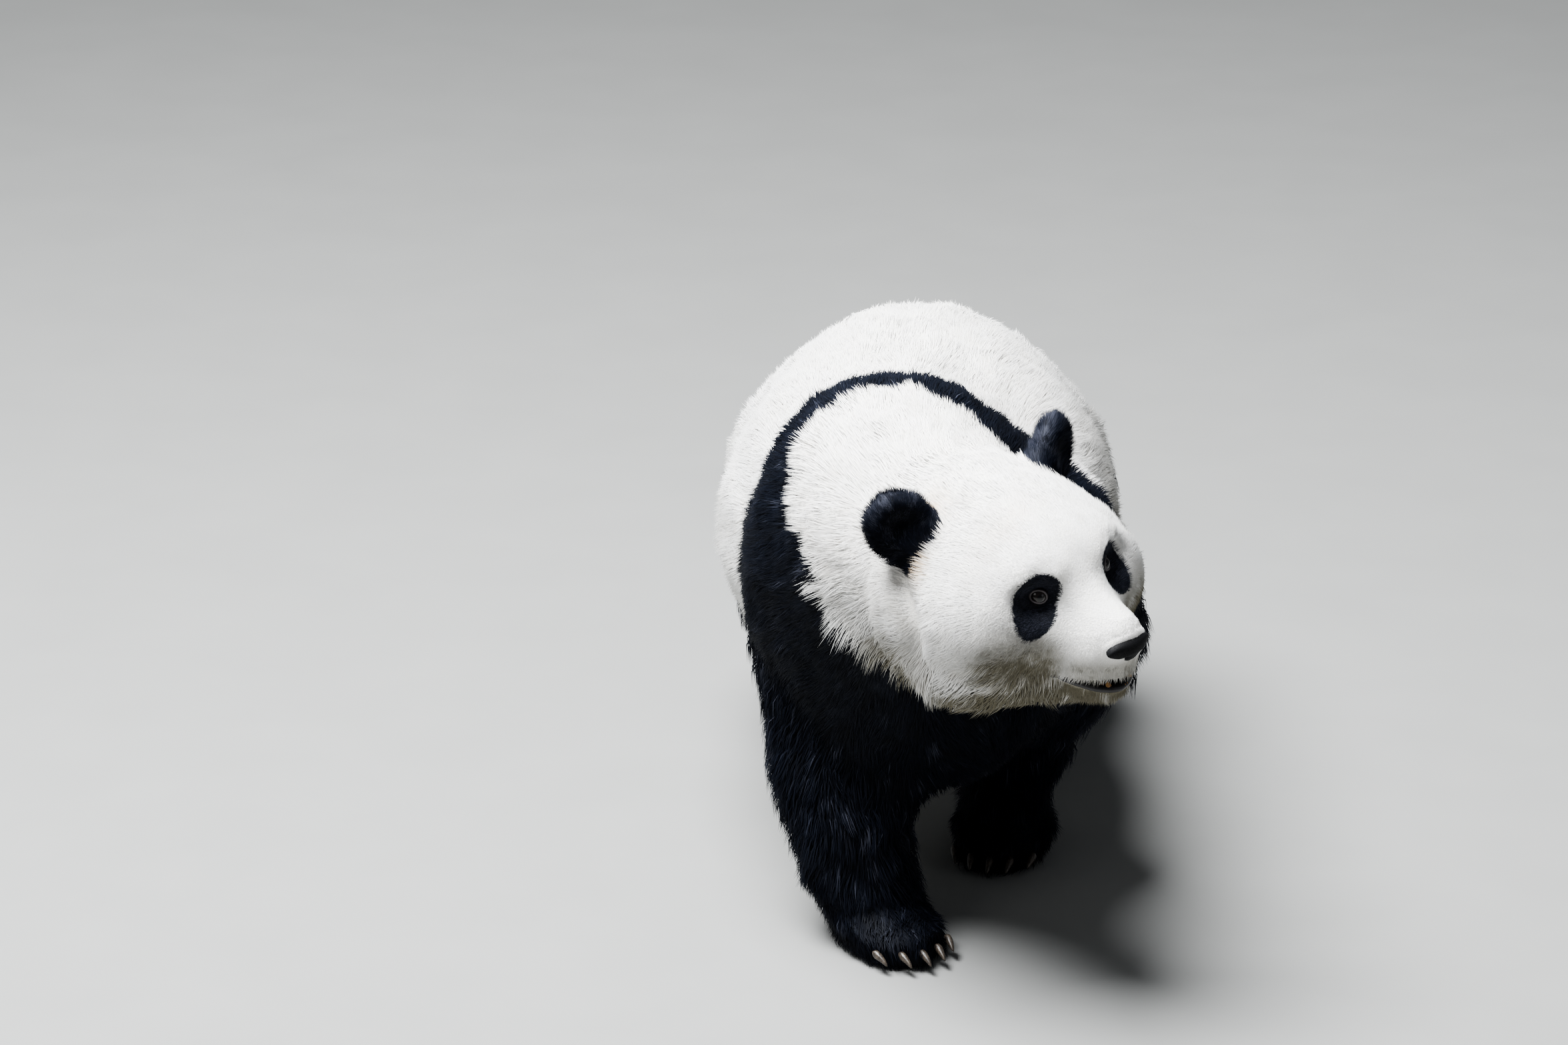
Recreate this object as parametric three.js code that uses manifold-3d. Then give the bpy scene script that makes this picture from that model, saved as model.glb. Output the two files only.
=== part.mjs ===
// Giant panda, life size, caught in a slow walk with its head turned to its left.
// Millimetres, +Z up. The animal faces -Y and its left side is +X. All four feet stand on z = 0.
// Every surface is the tips of the coat. The flesh is one rounded form, built from ellipsoids and
// tapered limbs that melt into each other, wrapped in facets and then parted with thin cuts.
import * as THREE from "three";
import { mergeVertices } from "three/addons/utils/BufferGeometryUtils.js";
import Module from "manifold-3d";

const wasm = await Module();
wasm.setup();

// ---------------------------------------------------------------- driving dimensions
const withersHeight = 700;
const barrelHalfWidth = 264;
const rumpHalfWidth = 260;
const chestHalfWidth = 188;
const spineLean = -4.0; // degrees; the trunk points a little to its left of straight ahead

const headTurn = 49; // degrees, towards the animal's left
const headNod = 1.8;
const headTilt = -6.6;
const headCentre = [136, -250, 544];

const eyeRadius = 12.5;
const earHeight = 54; // half sizes of the ear's disc
const earWidth = 50;
const earThickness = 26;

const clawLength = 32;
const clawRadius = 6.5;
const toeCount = 5;

const toothRadius = 4.4;
const toothLength = 11;

const gap = 0.35; // between neighbouring solids
const facet = { trunk: 78, neck: 58, head: 38, face: 22.2, leg: 50, paw: 38, tail: 40 };

const colour = {
  white: 0xe9e5da,
  black: 0x17171b,
  nose: 0x121215,
  eye: 0x1a100b,
  claw: 0x4a443c,
  tooth: 0xc9a878,
};

// ---------------------------------------------------------------- soft forms
// Each form is a function of a point: below zero inside, and about the distance to its surface outside.
const vec = (p) => new THREE.Vector3(...p);

function blob(centre, radii, turn = [0, 0, 0]) {
  const c = vec(centre);
  const r = vec(radii);
  const back = new THREE.Quaternion()
    .setFromEuler(new THREE.Euler(...turn.map(THREE.MathUtils.degToRad)))
    .invert();
  const q = new THREE.Vector3();
  return (p) => {
    q.copy(p).sub(c).applyQuaternion(back).divide(r);
    const reach = q.length();
    const slope = q.divide(r).length();
    return slope < 1e-9 ? -Math.min(r.x, r.y, r.z) : (reach * (reach - 1)) / slope;
  };
}

// A chain of joints [x, y, z, radius], tapering evenly from each to the next.
function limb(...joints) {
  const bones = joints.slice(1).map((end, i) => ({
    from: placeOf(joints[i]),
    along: placeOf(end).sub(placeOf(joints[i])),
    radius: [joints[i][3], end[3]],
  }));
  const q = new THREE.Vector3();
  return (p) => Math.min(...bones.map(({ from, along, radius }) => {
    q.copy(p).sub(from);
    const t = THREE.MathUtils.clamp(q.dot(along) / along.lengthSq(), 0, 1);
    return q.addScaledVector(along, -t).length() - THREE.MathUtils.lerp(radius[0], radius[1], t);
  }));
}

const melt = (a, b, width) => {
  const share = Math.max(width - Math.abs(a - b), 0) / width;
  return Math.min(a, b) - (share * share * width) / 4;
};
const joined = (width, ...forms) => (p) =>
  forms.reduce((sum, form) => melt(sum, form(p), width), Infinity);
const hollowed = (width, form, ...hollows) => (p) =>
  hollows.reduce((sum, hollow) => -melt(-sum, hollow(p), width), form(p));
const bothSides = (make) => [make(-1), make(1)];

// A form given in a frame's own coordinates, asked about points of the whole animal.
function placed(frame, form) {
  const q = new THREE.Vector3();
  return (p) => form(frame.worldToLocal(q.copy(p)));
}

// ---------------------------------------------------------------- frames
const panda = new THREE.Group();

function frameAt(parent, position, degrees = [0, 0, 0]) {
  const frame = new THREE.Group();
  frame.position.set(...position);
  frame.rotation.set(...degrees.map(THREE.MathUtils.degToRad), "ZXY");
  parent.add(frame);
  frame.updateWorldMatrix(true, false);
  return frame;
}

const headFrame = frameAt(panda, headCentre, [headNod, headTilt, headTurn]);

// ---------------------------------------------------------------- trunk, neck and tail
const spineX = (y) => 8 + y * Math.tan(THREE.MathUtils.degToRad(spineLean));
const alongSpine = (y, z, radii) => blob([spineX(y), y, z], radii, [0, 0, -spineLean]);
const withers = blob([-20, 20, withersHeight - 128], [96, 175, 108], [0, 0, -spineLean]);
const chest = alongSpine(10, 425, [chestHalfWidth, 205, 235]);
const brisket = blob([42, 30, 290], [92, 110, 118]);
const barrel = alongSpine(290, 412, [barrelHalfWidth, 330, 232]);
const loin = alongSpine(400, 468, [158, 280, 178]);
const rump = alongSpine(585, 362, [rumpHalfWidth, 214, 216]);
const shoulders = [
  blob([-88, -5, 480], [98, 130, 180]),
  blob([157, 40, 412], [108, 135, 142]),
];
const trunkForm = joined(90, chest, brisket, barrel, loin, rump, withers, ...shoulders);
const neckForm = limb([-18, -20, 534, 143], [26, -115, 524, 144], [76, -195, 516, 136]);
const tailForm = limb([-68, 765, 430, 42], [-70, 802, 360, 44], [-70, 808, 296, 26]);

// ---------------------------------------------------------------- legs
// Joints run from the shoulder or hip down to the wrist or ankle. The paw has its own frame on the
// floor, turned inwards, and the leg's last joint stands over it.
const legs = [
  {
    name: "foreleg_right",
    joints: [[-94, -5, 450, 108], [-98, 8, 320, 97], [-95, -40, 215, 92], [-60, -85, 110, 82]],
    paw: [-22, -124, 0],
    turn: 34,
    kind: "fore",
    cutRadius: 128,
    cutTop: 330,
  },
  {
    name: "foreleg_left",
    joints: [[158, 35, 450, 112], [190, 80, 345, 102], [142, 130, 240, 86], [108, 190, 110, 68]],
    paw: [106, 190, 0],
    turn: -8,
    kind: "fore",
    cutRadius: 132,
    cutTop: 330,
  },
  {
    name: "hindleg_right",
    joints: [[-138, 600, 350, 133], [-168, 505, 240, 106], [-158, 590, 105, 74]],
    paw: [-156, 545, 0],
    turn: 14,
    kind: "hind",
    cutRadius: 168,
    cutTop: 275,
  },
  {
    name: "hindleg_left",
    joints: [[80, 605, 350, 133], [118, 585, 240, 106], [108, 745, 110, 72]],
    paw: [106, 704, 0],
    turn: -12,
    kind: "hind",
    cutRadius: 168,
    cutTop: 275,
  },
];
const pawSize = {
  fore: { halfWidth: 68, heel: 60, toes: 76 },
  hind: { halfWidth: 62, heel: 78, toes: 78 },
};
const toeSpread = (i) => i / (toeCount - 1) - 0.5; // from -0.5 to 0.5 across the paw

function toeRoot(size, i) {
  const x = 2 * toeSpread(i) * (size.halfWidth - 17);
  const y = -size.toes + 26 * (2 * toeSpread(i)) ** 2;
  return [x, y];
}

function pawForm(size) {
  const pad = blob([0, 0, 30], [size.halfWidth, size.heel + 26, 34]);
  const heel = blob([0, size.heel * 0.42, 32], [size.halfWidth * 0.86, size.heel * 0.72, 38]);
  const toes = Array.from({ length: toeCount }, (_, i) => {
    const [x, y] = toeRoot(size, i);
    return limb([x * 0.75, y + 46, 32, 24], [x, y, 22, 21]);
  });
  return joined(20, joined(34, pad, heel), ...toes);
}

for (const leg of legs) {
  leg.frame = frameAt(panda, leg.paw, [0, 0, leg.turn]);
  leg.form = limb(...leg.joints);
  leg.pawForm = placed(leg.frame, pawForm(pawSize[leg.kind]));
}

// ---------------------------------------------------------------- head, in its own frame
const eyeCentre = (side) => [side * 53, -93, 22];
const nosePlace = [0, -185, -38];
const mouthCorner = [0, -112, -76];
const mouthSlopes = [0.04, 0.19]; // of the upper and the lower lip, falling towards the front
const earCentre = (side) => [side * 131, 56, 100];
const earTurn = (side) => [0, side * 22, side * 25];

const cranium = blob([0, 38, 26], [122, 122, 96]);
const forehead = blob([0, -44, 40], [84, 70, 60]);
const cheeks = bothSides((s) => blob([s * 86, -14, -22], [80, 98, 86]));
const jowls = bothSides((s) => blob([s * 60, 10, -80], [68, 84, 62]));
const brows = bothSides((s) => blob([s * 44, -82, 46], [30, 26, 20]));
const bridge = limb([0, -70, 24, 38], [0, -172, -17, 18]);
const noseSides = bothSides((s) => blob([s * 14, -163, -27], [12, 20, 11]));
const muzzleRoot = blob([0, -88, -34], [66, 46, 46]);
const muzzle = blob([0, -120, -40], [45, 61, 34]);
const lips = bothSides((s) => blob([s * 17, -128, -60], [25, 39, 25]));
const chin = limb([0, -46, -99, 56], [0, -152, -93, 29]);
const eyeHollows = bothSides((s) => blob([s * 66, -110, 24], [26, 24, 21]));
const headForm = hollowed(
  18,
  joined(
    36,
    joined(52, cranium, forehead, ...cheeks, ...jowls),
    ...[bridge, muzzleRoot, muzzle, chin, ...noseSides, ...lips, ...brows],
  ),
  ...eyeHollows,
);
const worldHeadForm = placed(headFrame, headForm);
const fleshForm = joined(70, trunkForm, neckForm, worldHeadForm, tailForm);
const wholeForm = (p) => {
  const body = fleshForm(p);
  return legs.reduce((sum, leg) => melt(sum, melt(leg.form(p), leg.pawForm(p), 30), 46), body);
};

// ---------------------------------------------------------------- wrapping a form in facets
const corners = [0, 1, 2, 3, 4, 5, 6, 7].map((n) => [n & 1, (n >> 1) & 1, n >> 2]);
const cellEdges = corners.flatMap((_, a) => [1, 2, 4].filter((bit) => !(a & bit)).map((bit) => [a, a | bit]));

// Lays a grid over the box, puts one point in each cell that the surface crosses, and links the
// points of neighbouring cells. Each point is then moved along the form's slope onto the surface.
function wrap(form, low, high, cell, frame = panda) {
  frame.updateWorldMatrix(true, false);
  const count = low.map((l, i) => Math.ceil((high[i] - l) / cell) + 1);
  const at = (i, j, k) => i + count[0] * (j + count[1] * k);
  const spot = (i, j, k) => new THREE.Vector3(low[0] + i * cell, low[1] + j * cell, low[2] + k * cell);
  const ask = (p) => form(frame.localToWorld(p.clone()));
  const value = new Float64Array(count[0] * count[1] * count[2]);
  const eachOf = (less, visit) => {
    for (let k = 0; k < count[2] - less; k++)
      for (let j = 0; j < count[1] - less; j++)
        for (let i = 0; i < count[0] - less; i++) visit(i, j, k);
  };
  eachOf(0, (i, j, k) => {
    const rim = [i, j, k].some((n, axis) => n === 0 || n === count[axis] - 1);
    const found = ask(spot(i, j, k));
    value[at(i, j, k)] = rim ? Math.max(found, cell * 0.3) : found || 1e-6;
  });
  const points = [];
  const pointOf = new Map();
  eachOf(1, (i, j, k) => {
    const v = corners.map(([x, y, z]) => value[at(i + x, j + y, k + z)]);
    const crossed = cellEdges.filter(([a, b]) => v[a] < 0 !== v[b] < 0);
    if (!crossed.length) return;
    const sum = new THREE.Vector3();
    for (const [a, b] of crossed) {
      const from = vec(corners[a]);
      sum.add(from.lerp(vec(corners[b]), v[a] / (v[a] - v[b])));
    }
    const p = spot(i, j, k).addScaledVector(sum, cell / crossed.length);
    pointOf.set(at(i, j, k), points.length);
    points.push(settle(p, ask, cell));
  });
  const faces = [];
  const around = [[[0, 1, 0], [0, 0, 1]], [[0, 0, 1], [1, 0, 0]], [[1, 0, 0], [0, 1, 0]]];
  eachOf(1, (i, j, k) => {
    around.forEach(([u, v], axis) => {
      const here = value[at(i, j, k)] < 0;
      const there = value[at(i + (axis === 0), j + (axis === 1), k + (axis === 2))] < 0;
      if (here === there) return;
      const cellAt = (a, b) =>
        pointOf.get(at(i - a * u[0] - b * v[0], j - a * u[1] - b * v[1], k - a * u[2] - b * v[2]));
      const quad = [cellAt(0, 0), cellAt(1, 0), cellAt(1, 1), cellAt(0, 1)];
      if (!here) quad.reverse();
      const [a, b, c, d] = quad;
      const shorter = points[a].distanceTo(points[c]) < points[b].distanceTo(points[d]);
      faces.push(...(shorter ? [a, b, c, a, c, d] : [a, b, d, b, c, d]));
    });
  });
  return new THREE.BufferGeometry().setFromPoints(points).setIndex(faces);
}

// Two steps down the form's slope, and never further than half a cell.
function settle(p, ask, cell) {
  const start = p.clone();
  const step = cell * 0.05;
  for (let round = 0; round < 2; round++) {
    const here = ask(p);
    if (Math.abs(here) > cell * 0.45) return start;
    const slope = new THREE.Vector3(
      ask(p.clone().setX(p.x + step)) - here,
      ask(p.clone().setY(p.y + step)) - here,
      ask(p.clone().setZ(p.z + step)) - here,
    ).divideScalar(step);
    p.addScaledVector(slope, -here / Math.max(slope.lengthSq(), 0.2));
  }
  return p.distanceTo(start) < cell * 0.5 ? p : start;
}

// ---------------------------------------------------------------- solids: joining and cutting
function solidOf(geometry) {
  const bare = geometry.clone();
  bare.deleteAttribute("normal");
  bare.deleteAttribute("uv");
  const merged = mergeVertices(bare, 1e-3);
  return new wasm.Manifold(new wasm.Mesh({
    numProp: 3,
    vertProperties: new Float32Array(merged.attributes.position.array),
    triVerts: new Uint32Array(merged.index.array),
  }));
}

function geometryOf(solid) {
  const { vertProperties, triVerts } = solid.getMesh();
  const made = new THREE.BufferGeometry();
  made.setAttribute("position", new THREE.BufferAttribute(new Float32Array(vertProperties), 3));
  made.setIndex(new THREE.BufferAttribute(new Uint32Array(triVerts), 1));
  return made;
}

const largest = (solid) => solid.decompose().sort((a, b) => b.volume() - a.volume())[0];

// Everything on the side of a plane that its normal points to, as far as the animal reaches.
function beyond(point, normal, reach = 2600) {
  const block = new THREE.BoxGeometry(reach, reach, reach).translate(0, 0, reach / 2 + gap / 2);
  const turn = new THREE.Quaternion().setFromUnitVectors(new THREE.Vector3(0, 0, 1), vec(normal).normalize());
  return solidOf(block.applyQuaternion(turn).translate(...point));
}
const reversed = (normal) => normal.map((n) => -n);

const materials = Object.fromEntries(Object.entries(colour).map(([name, color]) => [
  name,
  new THREE.MeshStandardMaterial({
    color,
    roughness: { nose: 0.35, eye: 0.08, claw: 0.45, tooth: 0.3 }[name] ?? 0.9,
    metalness: 0,
  }),
]));

function addPart(name, solid, material, frame = panda) {
  const mesh = new THREE.Mesh(geometryOf(largest(solid.simplify(gap / 4))), materials[material]);
  mesh.name = name;
  frame.add(mesh);
  return mesh;
}

// A solid moved from one frame's coordinates to another's.
function carried(solid, from, to) {
  const matrix = to.matrixWorld.clone().invert().multiply(from.matrixWorld);
  return solidOf(geometryOf(solid).applyMatrix4(matrix));
}

// ---------------------------------------------------------------- parting planes
const neckCut = { point: [-61, -122, 574], normal: [0.04, -0.76, 0.65] };
const bandCut = { point: [0, 116, 400], normal: [0.04, 1, 0] };
const rumpCut = { point: [0, 470, 400], normal: [0, 1, 0] };
const headCutY = 108; // in the head's frame
const faceCutY = -74;

// ---------------------------------------------------------------- legs and paws
// A leg leaves the trunk at a rounded seam, the surface of a leaning capsule around its bones.
function legRegion(leg, grow) {
  const top = leg.joints.map(placeOf).find((joint) => joint.z <= leg.cutTop + 60).setZ(leg.cutTop);
  const foot = vec(leg.paw).setZ(-300);
  const height = top.z - foot.z;
  const capsule = new THREE.CapsuleGeometry(leg.cutRadius + grow, height, 4, 12);
  capsule.rotateX(Math.PI / 2).translate(0, 0, (top.z + foot.z) / 2);
  const position = capsule.attributes.position;
  for (let i = 0; i < position.count; i++) {
    const share = THREE.MathUtils.clamp((top.z - position.getZ(i)) / height, 0, 1);
    const centre = top.clone().lerp(foot, share);
    position.setXY(i, position.getX(i) + centre.x, position.getY(i) + centre.y);
  }
  return solidOf(capsule);
}

// The hind legs meet along the spine's own upright plane.
function sideOf(leg) {
  const middle = spineX(600);
  return beyond([middle, 0, 0], [Math.sign(leg.paw[0] - middle), 0, 0]);
}

const wristHeight = { fore: 88, hind: 84 };
for (const leg of legs) {
  const reach = leg.cutRadius + 40;
  const middle = leg.joints.at(-1);
  const box = new THREE.Box3().setFromPoints([...leg.joints.map(placeOf), vec(leg.paw)]);
  const { min, max } = box.expandByScalar(reach);
  const flesh = solidOf(
    wrap(wholeForm, [min.x, min.y, -70], [max.x, max.y, leg.cutTop + reach], facet.leg),
  );
  leg.region = legRegion(leg, 0);
  leg.clearance = legRegion(leg, gap);
  const wrist = { point: [middle[0], middle[1], wristHeight[leg.kind]], normal: [0, 0, 1] };
  const own = flesh.intersect(leg.region).intersect(beyond(wrist.point, wrist.normal));
  addPart(leg.name, leg.kind === "fore" ? own : own.intersect(sideOf(leg)), "black");

  const size = pawSize[leg.kind];
  const side = size.halfWidth + 44;
  const paw = solidOf(
    wrap(wholeForm, [-side, -size.toes - 50, -24], [side, size.heel + 80, 150], facet.paw, leg.frame),
  );
  const lowered = [0, 0, wristHeight[leg.kind]];
  let pawSolid = paw.intersect(beyond(lowered, [0, 0, -1])).intersect(beyond([0, 0, -gap / 2], [0, 0, 1]));
  const pawName = leg.name.replace("leg", "paw");
  for (let i = 0; i < toeCount; i++) {
    const [x, y] = toeRoot(size, i);
    const place = new THREE.Matrix4()
      .makeRotationZ(-x * 0.004)
      .setPosition(x * 1.02, y - 10, 25);
    pawSolid = pawSolid.subtract(solidOf(clawGeometry(gap).applyMatrix4(place)));
    addPart(pawName + "_claw_" + (i + 1), solidOf(clawGeometry(0).applyMatrix4(place)), "claw", leg.frame);
  }
  addPart(pawName, pawSolid, "black", leg.frame);
}

function placeOf(joint) {
  return vec(joint.slice(0, 3));
}

// A claw grows forward from z = 0, -Y, curving down to its tip. Its root is a round end.
function clawGeometry(grow) {
  const steps = 2;
  const profile = [new THREE.Vector2(0, -grow)];
  for (let i = 0; i <= steps - 1; i++) {
    const share = i / steps;
    profile.push(new THREE.Vector2(clawRadius * (1 - share ** 1.6) + grow, share * clawLength));
  }
  profile.push(new THREE.Vector2(0, clawLength + grow));
  const claw = new THREE.LatheGeometry(profile, 6).rotateX(Math.PI);
  const position = claw.attributes.position;
  for (let i = 0; i < position.count; i++) {
    const share = -position.getY(i) / clawLength;
    position.setZ(i, position.getZ(i) * 1.15 - 15 * Math.max(share, 0) ** 2);
  }
  return claw;
}

// ---------------------------------------------------------------- trunk nodes
const withoutLegs = (solid) => legs.reduce((left, leg) => left.subtract(leg.clearance), solid);
const trunk = withoutLegs(solidOf(wrap(wholeForm, [-345, -330, 120], [370, 900, 800], facet.trunk)));
const aheadOf = ({ point, normal }) => beyond(point, normal);
const behindOf = ({ point, normal }) => beyond(point, reversed(normal));
addPart("barrel", trunk.intersect(aheadOf(bandCut)).intersect(behindOf(rumpCut)), "white");
const tailRegion = (grow) => solidOf(new THREE.SphereGeometry(1, 10, 8)
  .scale(66 + grow, 62 + grow, 108 + grow)
  .rotateX(0.25)
  .translate(-70, 826, 350));
addPart("rump", trunk.intersect(aheadOf(rumpCut)).subtract(tailRegion(gap)), "white");
const tail = solidOf(wrap(wholeForm, [-180, 700, 200], [40, 930, 520], facet.tail));
addPart("tail", tail.intersect(tailRegion(0)), "white");

// ---------------------------------------------------------------- head and neck nodes
const neck = solidOf(wrap(wholeForm, [-260, -420, 300], [330, 60, 780], facet.neck));
const headClearance = [headRegion(gap), earSolid(-1, gap), earSolid(1, gap)]
  .map((solid) => carried(solid, headFrame, panda))
  .reduce((sum, solid) => sum.add(solid));
addPart("neck", withoutLegs(neck.intersect(aheadOf(neckCut)).subtract(headClearance)), "white");
const band = trunk.intersect(behindOf(neckCut)).intersect(behindOf(bandCut));
addPart("shoulders", band.subtract(headClearance), "black");

// The head leaves the neck at a rounded seam behind the cheeks.
function headRegion(grow) {
  const round = new THREE.SphereGeometry(1, 14, 10).scale(190 + grow, 240 + grow, 185 + grow);
  return solidOf(round.translate(0, -40, -5)).intersect(beyond([0, headCutY + grow, 0], [0, -1, 0]));
}

function earSolid(side, grow) {
  const halves = [earWidth, earThickness, earHeight].map((half) => half + grow);
  const disc = solidOf(new THREE.SphereGeometry(1, 12, 10).scale(...halves));
  const cup = new THREE.SphereGeometry(1, 12, 7).scale(30, 15, 34).translate(0, -earThickness - 3, 2);
  const shaped = grow ? disc : disc.subtract(solidOf(cup));
  const turn = new THREE.Euler(...earTurn(side).map(THREE.MathUtils.degToRad), "ZXY");
  const place = new THREE.Matrix4().makeRotationFromEuler(turn).setPosition(...earCentre(side));
  return solidOf(geometryOf(shaped).applyMatrix4(place));
}

const eyeSolid = (side, grow) => solidOf(new THREE.SphereGeometry(eyeRadius + grow, 10, 8)
  .rotateX(Math.PI / 2)
  .translate(...eyeCentre(side)));

// The nose pad: a shield facing forward and down, wide above, seated in the end of the muzzle.
function noseSolid(grow) {
  const pad = new THREE.SphereGeometry(1, 12, 8).rotateX(Math.PI / 2).scale(35 + grow, 19 + grow, 13 + grow);
  const position = pad.attributes.position;
  for (let i = 0; i < position.count; i++) {
    const narrowing = 1 - 0.5 * THREE.MathUtils.clamp(position.getY(i) / 19 + 0.1, 0, 1);
    position.setX(i, position.getX(i) * narrowing);
  }
  return solidOf(pad.rotateX(-0.95).translate(...nosePlace));
}

// A lower canine, its root sunk in the jaw.
function toothSolid(side, grow) {
  const tooth = new THREE.ConeGeometry(toothRadius + grow, toothLength + 2 * grow, 7);
  return solidOf(tooth.rotateX(Math.PI / 2).translate(side * 17, -168, -84.6));
}

const headBox = { low: [-185, -215, -170], high: [185, 190, 165] };
const headShell = solidOf(wrap(wholeForm, headBox.low, headBox.high, facet.head, headFrame));
const faceCut = { point: [0, faceCutY, 0], normal: [0, -1, 0] };
let head = headShell.intersect(headRegion(0)).intersect(behindOf(faceCut));
let face = solidOf(wrap(wholeForm, [-160, -225, -160], [160, -40, 150], facet.face, headFrame))
  .intersect(aheadOf(faceCut));
for (const side of [-1, 1]) {
  const suffix = side < 0 ? "right" : "left";
  head = head.subtract(earSolid(side, gap));
  face = face.subtract(eyeSolid(side, gap));
  addPart("ear_" + suffix, earSolid(side, 0), "black", headFrame);
  addPart("eye_" + suffix, eyeSolid(side, 0), "eye", headFrame);
}
addPart("head", head, "white", headFrame);
// The mouth is a thin wedge between the face and the lower jaw, open at the front.
const [upperLip, lowerLip] = mouthSlopes.map((slope) => ({ point: mouthCorner, normal: [0, -slope, 1] }));
const jawRoot = (back) => beyond([0, mouthCorner[1] + back, 0], [0, -1, 0]);
const mouth = behindOf(upperLip).intersect(jawRoot(gap));
let jaw = face.intersect(behindOf(lowerLip)).intersect(jawRoot(0));
for (const side of [-1, 1]) {
  jaw = jaw.subtract(toothSolid(side, gap));
  addPart("tooth_" + (side < 0 ? "right" : "left"), toothSolid(side, 0), "tooth", headFrame);
}
addPart("lower_jaw", jaw, "white", headFrame);
addPart("face", face.subtract(mouth).subtract(noseSolid(gap)), "white", headFrame);
addPart("nose", noseSolid(0), "nose", headFrame);

// ---------------------------------------------------------------- onto the floor's middle
const box = new THREE.Box3().setFromObject(panda, true);
const middle = box.getCenter(new THREE.Vector3());
panda.position.set(-middle.x, -middle.y, -box.min.z);

export default panda;
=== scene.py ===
import math
import bpy
import bmesh
import numpy as np
from mathutils import Matrix, Vector, kdtree
from mathutils.bvhtree import BVHTree


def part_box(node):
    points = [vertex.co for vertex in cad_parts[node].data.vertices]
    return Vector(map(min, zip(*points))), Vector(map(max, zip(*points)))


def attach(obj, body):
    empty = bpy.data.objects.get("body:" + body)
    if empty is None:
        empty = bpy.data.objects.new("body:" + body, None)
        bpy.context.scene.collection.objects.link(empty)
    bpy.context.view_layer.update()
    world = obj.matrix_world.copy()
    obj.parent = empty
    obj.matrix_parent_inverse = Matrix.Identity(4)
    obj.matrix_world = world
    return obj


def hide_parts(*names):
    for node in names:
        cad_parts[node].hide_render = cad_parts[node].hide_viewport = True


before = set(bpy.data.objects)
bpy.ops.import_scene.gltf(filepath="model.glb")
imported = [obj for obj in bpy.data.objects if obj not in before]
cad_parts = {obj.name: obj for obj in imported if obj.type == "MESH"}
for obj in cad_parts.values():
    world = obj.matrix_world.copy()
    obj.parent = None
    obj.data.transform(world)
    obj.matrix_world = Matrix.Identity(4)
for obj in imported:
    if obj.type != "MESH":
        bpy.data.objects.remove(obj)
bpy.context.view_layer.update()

# names of the parts
whiteNodes = ["head", "face", "lower_jaw", "neck", "barrel", "rump", "tail"]
legNodes = ["foreleg_right", "foreleg_left", "hindleg_right", "hindleg_left"]
pawNodes = ["forepaw_right", "forepaw_left", "hindpaw_right", "hindpaw_left"]
earNodes = ["ear_right", "ear_left"]
fleshNodes = whiteNodes + ["shoulders"] + legNodes + pawNodes + earNodes


def middleOf(node):
    low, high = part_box(node)
    return np.array((low + high) / 2)


# the head's own axes: x to its left, y to its back, z up
headPose = {"turn": 49.0, "nod": 1.8, "tilt": -6.6, "eyesAt": (0.0, -0.093, 0.022)}
headAxes = np.array(
    Matrix.Rotation(math.radians(headPose["turn"]), 3, "Z")
    @ Matrix.Rotation(math.radians(headPose["nod"]), 3, "X")
    @ Matrix.Rotation(math.radians(headPose["tilt"]), 3, "Y")
)
eyeMiddle = (middleOf("eye_left") + middleOf("eye_right")) / 2
headOrigin = eyeMiddle - headAxes @ headPose["eyesAt"]


def toHead(points):
    return (np.asarray(points) - headOrigin) @ headAxes


def fromHead(points):
    return np.asarray(points) @ headAxes.T + headOrigin


def linked(name, mesh):
    made = bpy.data.objects.new(name, mesh)
    bpy.context.scene.collection.objects.link(made)
    return made


def arrayOf(collection, key, width, kind=np.float64):
    values = np.empty(len(collection) * width, kind)
    collection.foreach_get(key, values)
    return values.reshape(-1, width) if width > 1 else values


def unit(vectors):
    return vectors / np.maximum(np.linalg.norm(vectors, axis=-1, keepdims=True), 1e-9)


def ease(low, high, values):  # 0 below low, 1 above high, smooth between
    share = np.clip((values - low) / (high - low), 0, 1)
    return share * share * (3 - 2 * share)


def drift(points, across, seed, waves=12):  # a smooth random vector at each point, in swirls that far across
    luck = np.random.default_rng(seed)
    ways = unit(luck.normal(size=(waves, 3))) * (2 * np.pi / across) * luck.uniform(0.6, 1.5, (waves, 1))
    starts = luck.uniform(0, 2 * np.pi, (3, waves))
    turns = points @ ways.T
    return np.stack([np.sin(turns + starts[k]).sum(1) for k in range(3)], 1) / math.sqrt(waves / 2)


def hump(values, middle, wide):  # 1 at the middle, fading to both sides
    return np.exp(-(((values - middle) / wide) ** 2))


def eggReach(h, centre, radii):  # under 1 inside an egg, in the head's axes
    return np.linalg.norm((h - centre) / radii, axis=1)


def meshFrom(shape, name):
    mesh = bpy.data.meshes.new(name)
    shape.to_mesh(mesh)
    shape.free()
    return mesh


def putValues(mesh, label, values):
    layer = mesh.attributes.new(label, "FLOAT", "POINT")
    layer.data.foreach_set("value", np.asarray(values, np.float32))


# a smooth piece, and the CAD parts it stands for
def finished(name, mesh, material, stands=(), rounds=0):
    mesh.polygons.foreach_set("use_smooth", np.ones(len(mesh.polygons), bool))
    mesh.materials.clear()
    mesh.materials.append(material)
    made = linked(name, mesh)
    if rounds:
        rounding = made.modifiers.new("round", "SUBSURF")
        rounding.levels = rounding.render_levels = rounds
    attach(made, "root")
    if stands:
        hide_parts(*stands)
    return made


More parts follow.
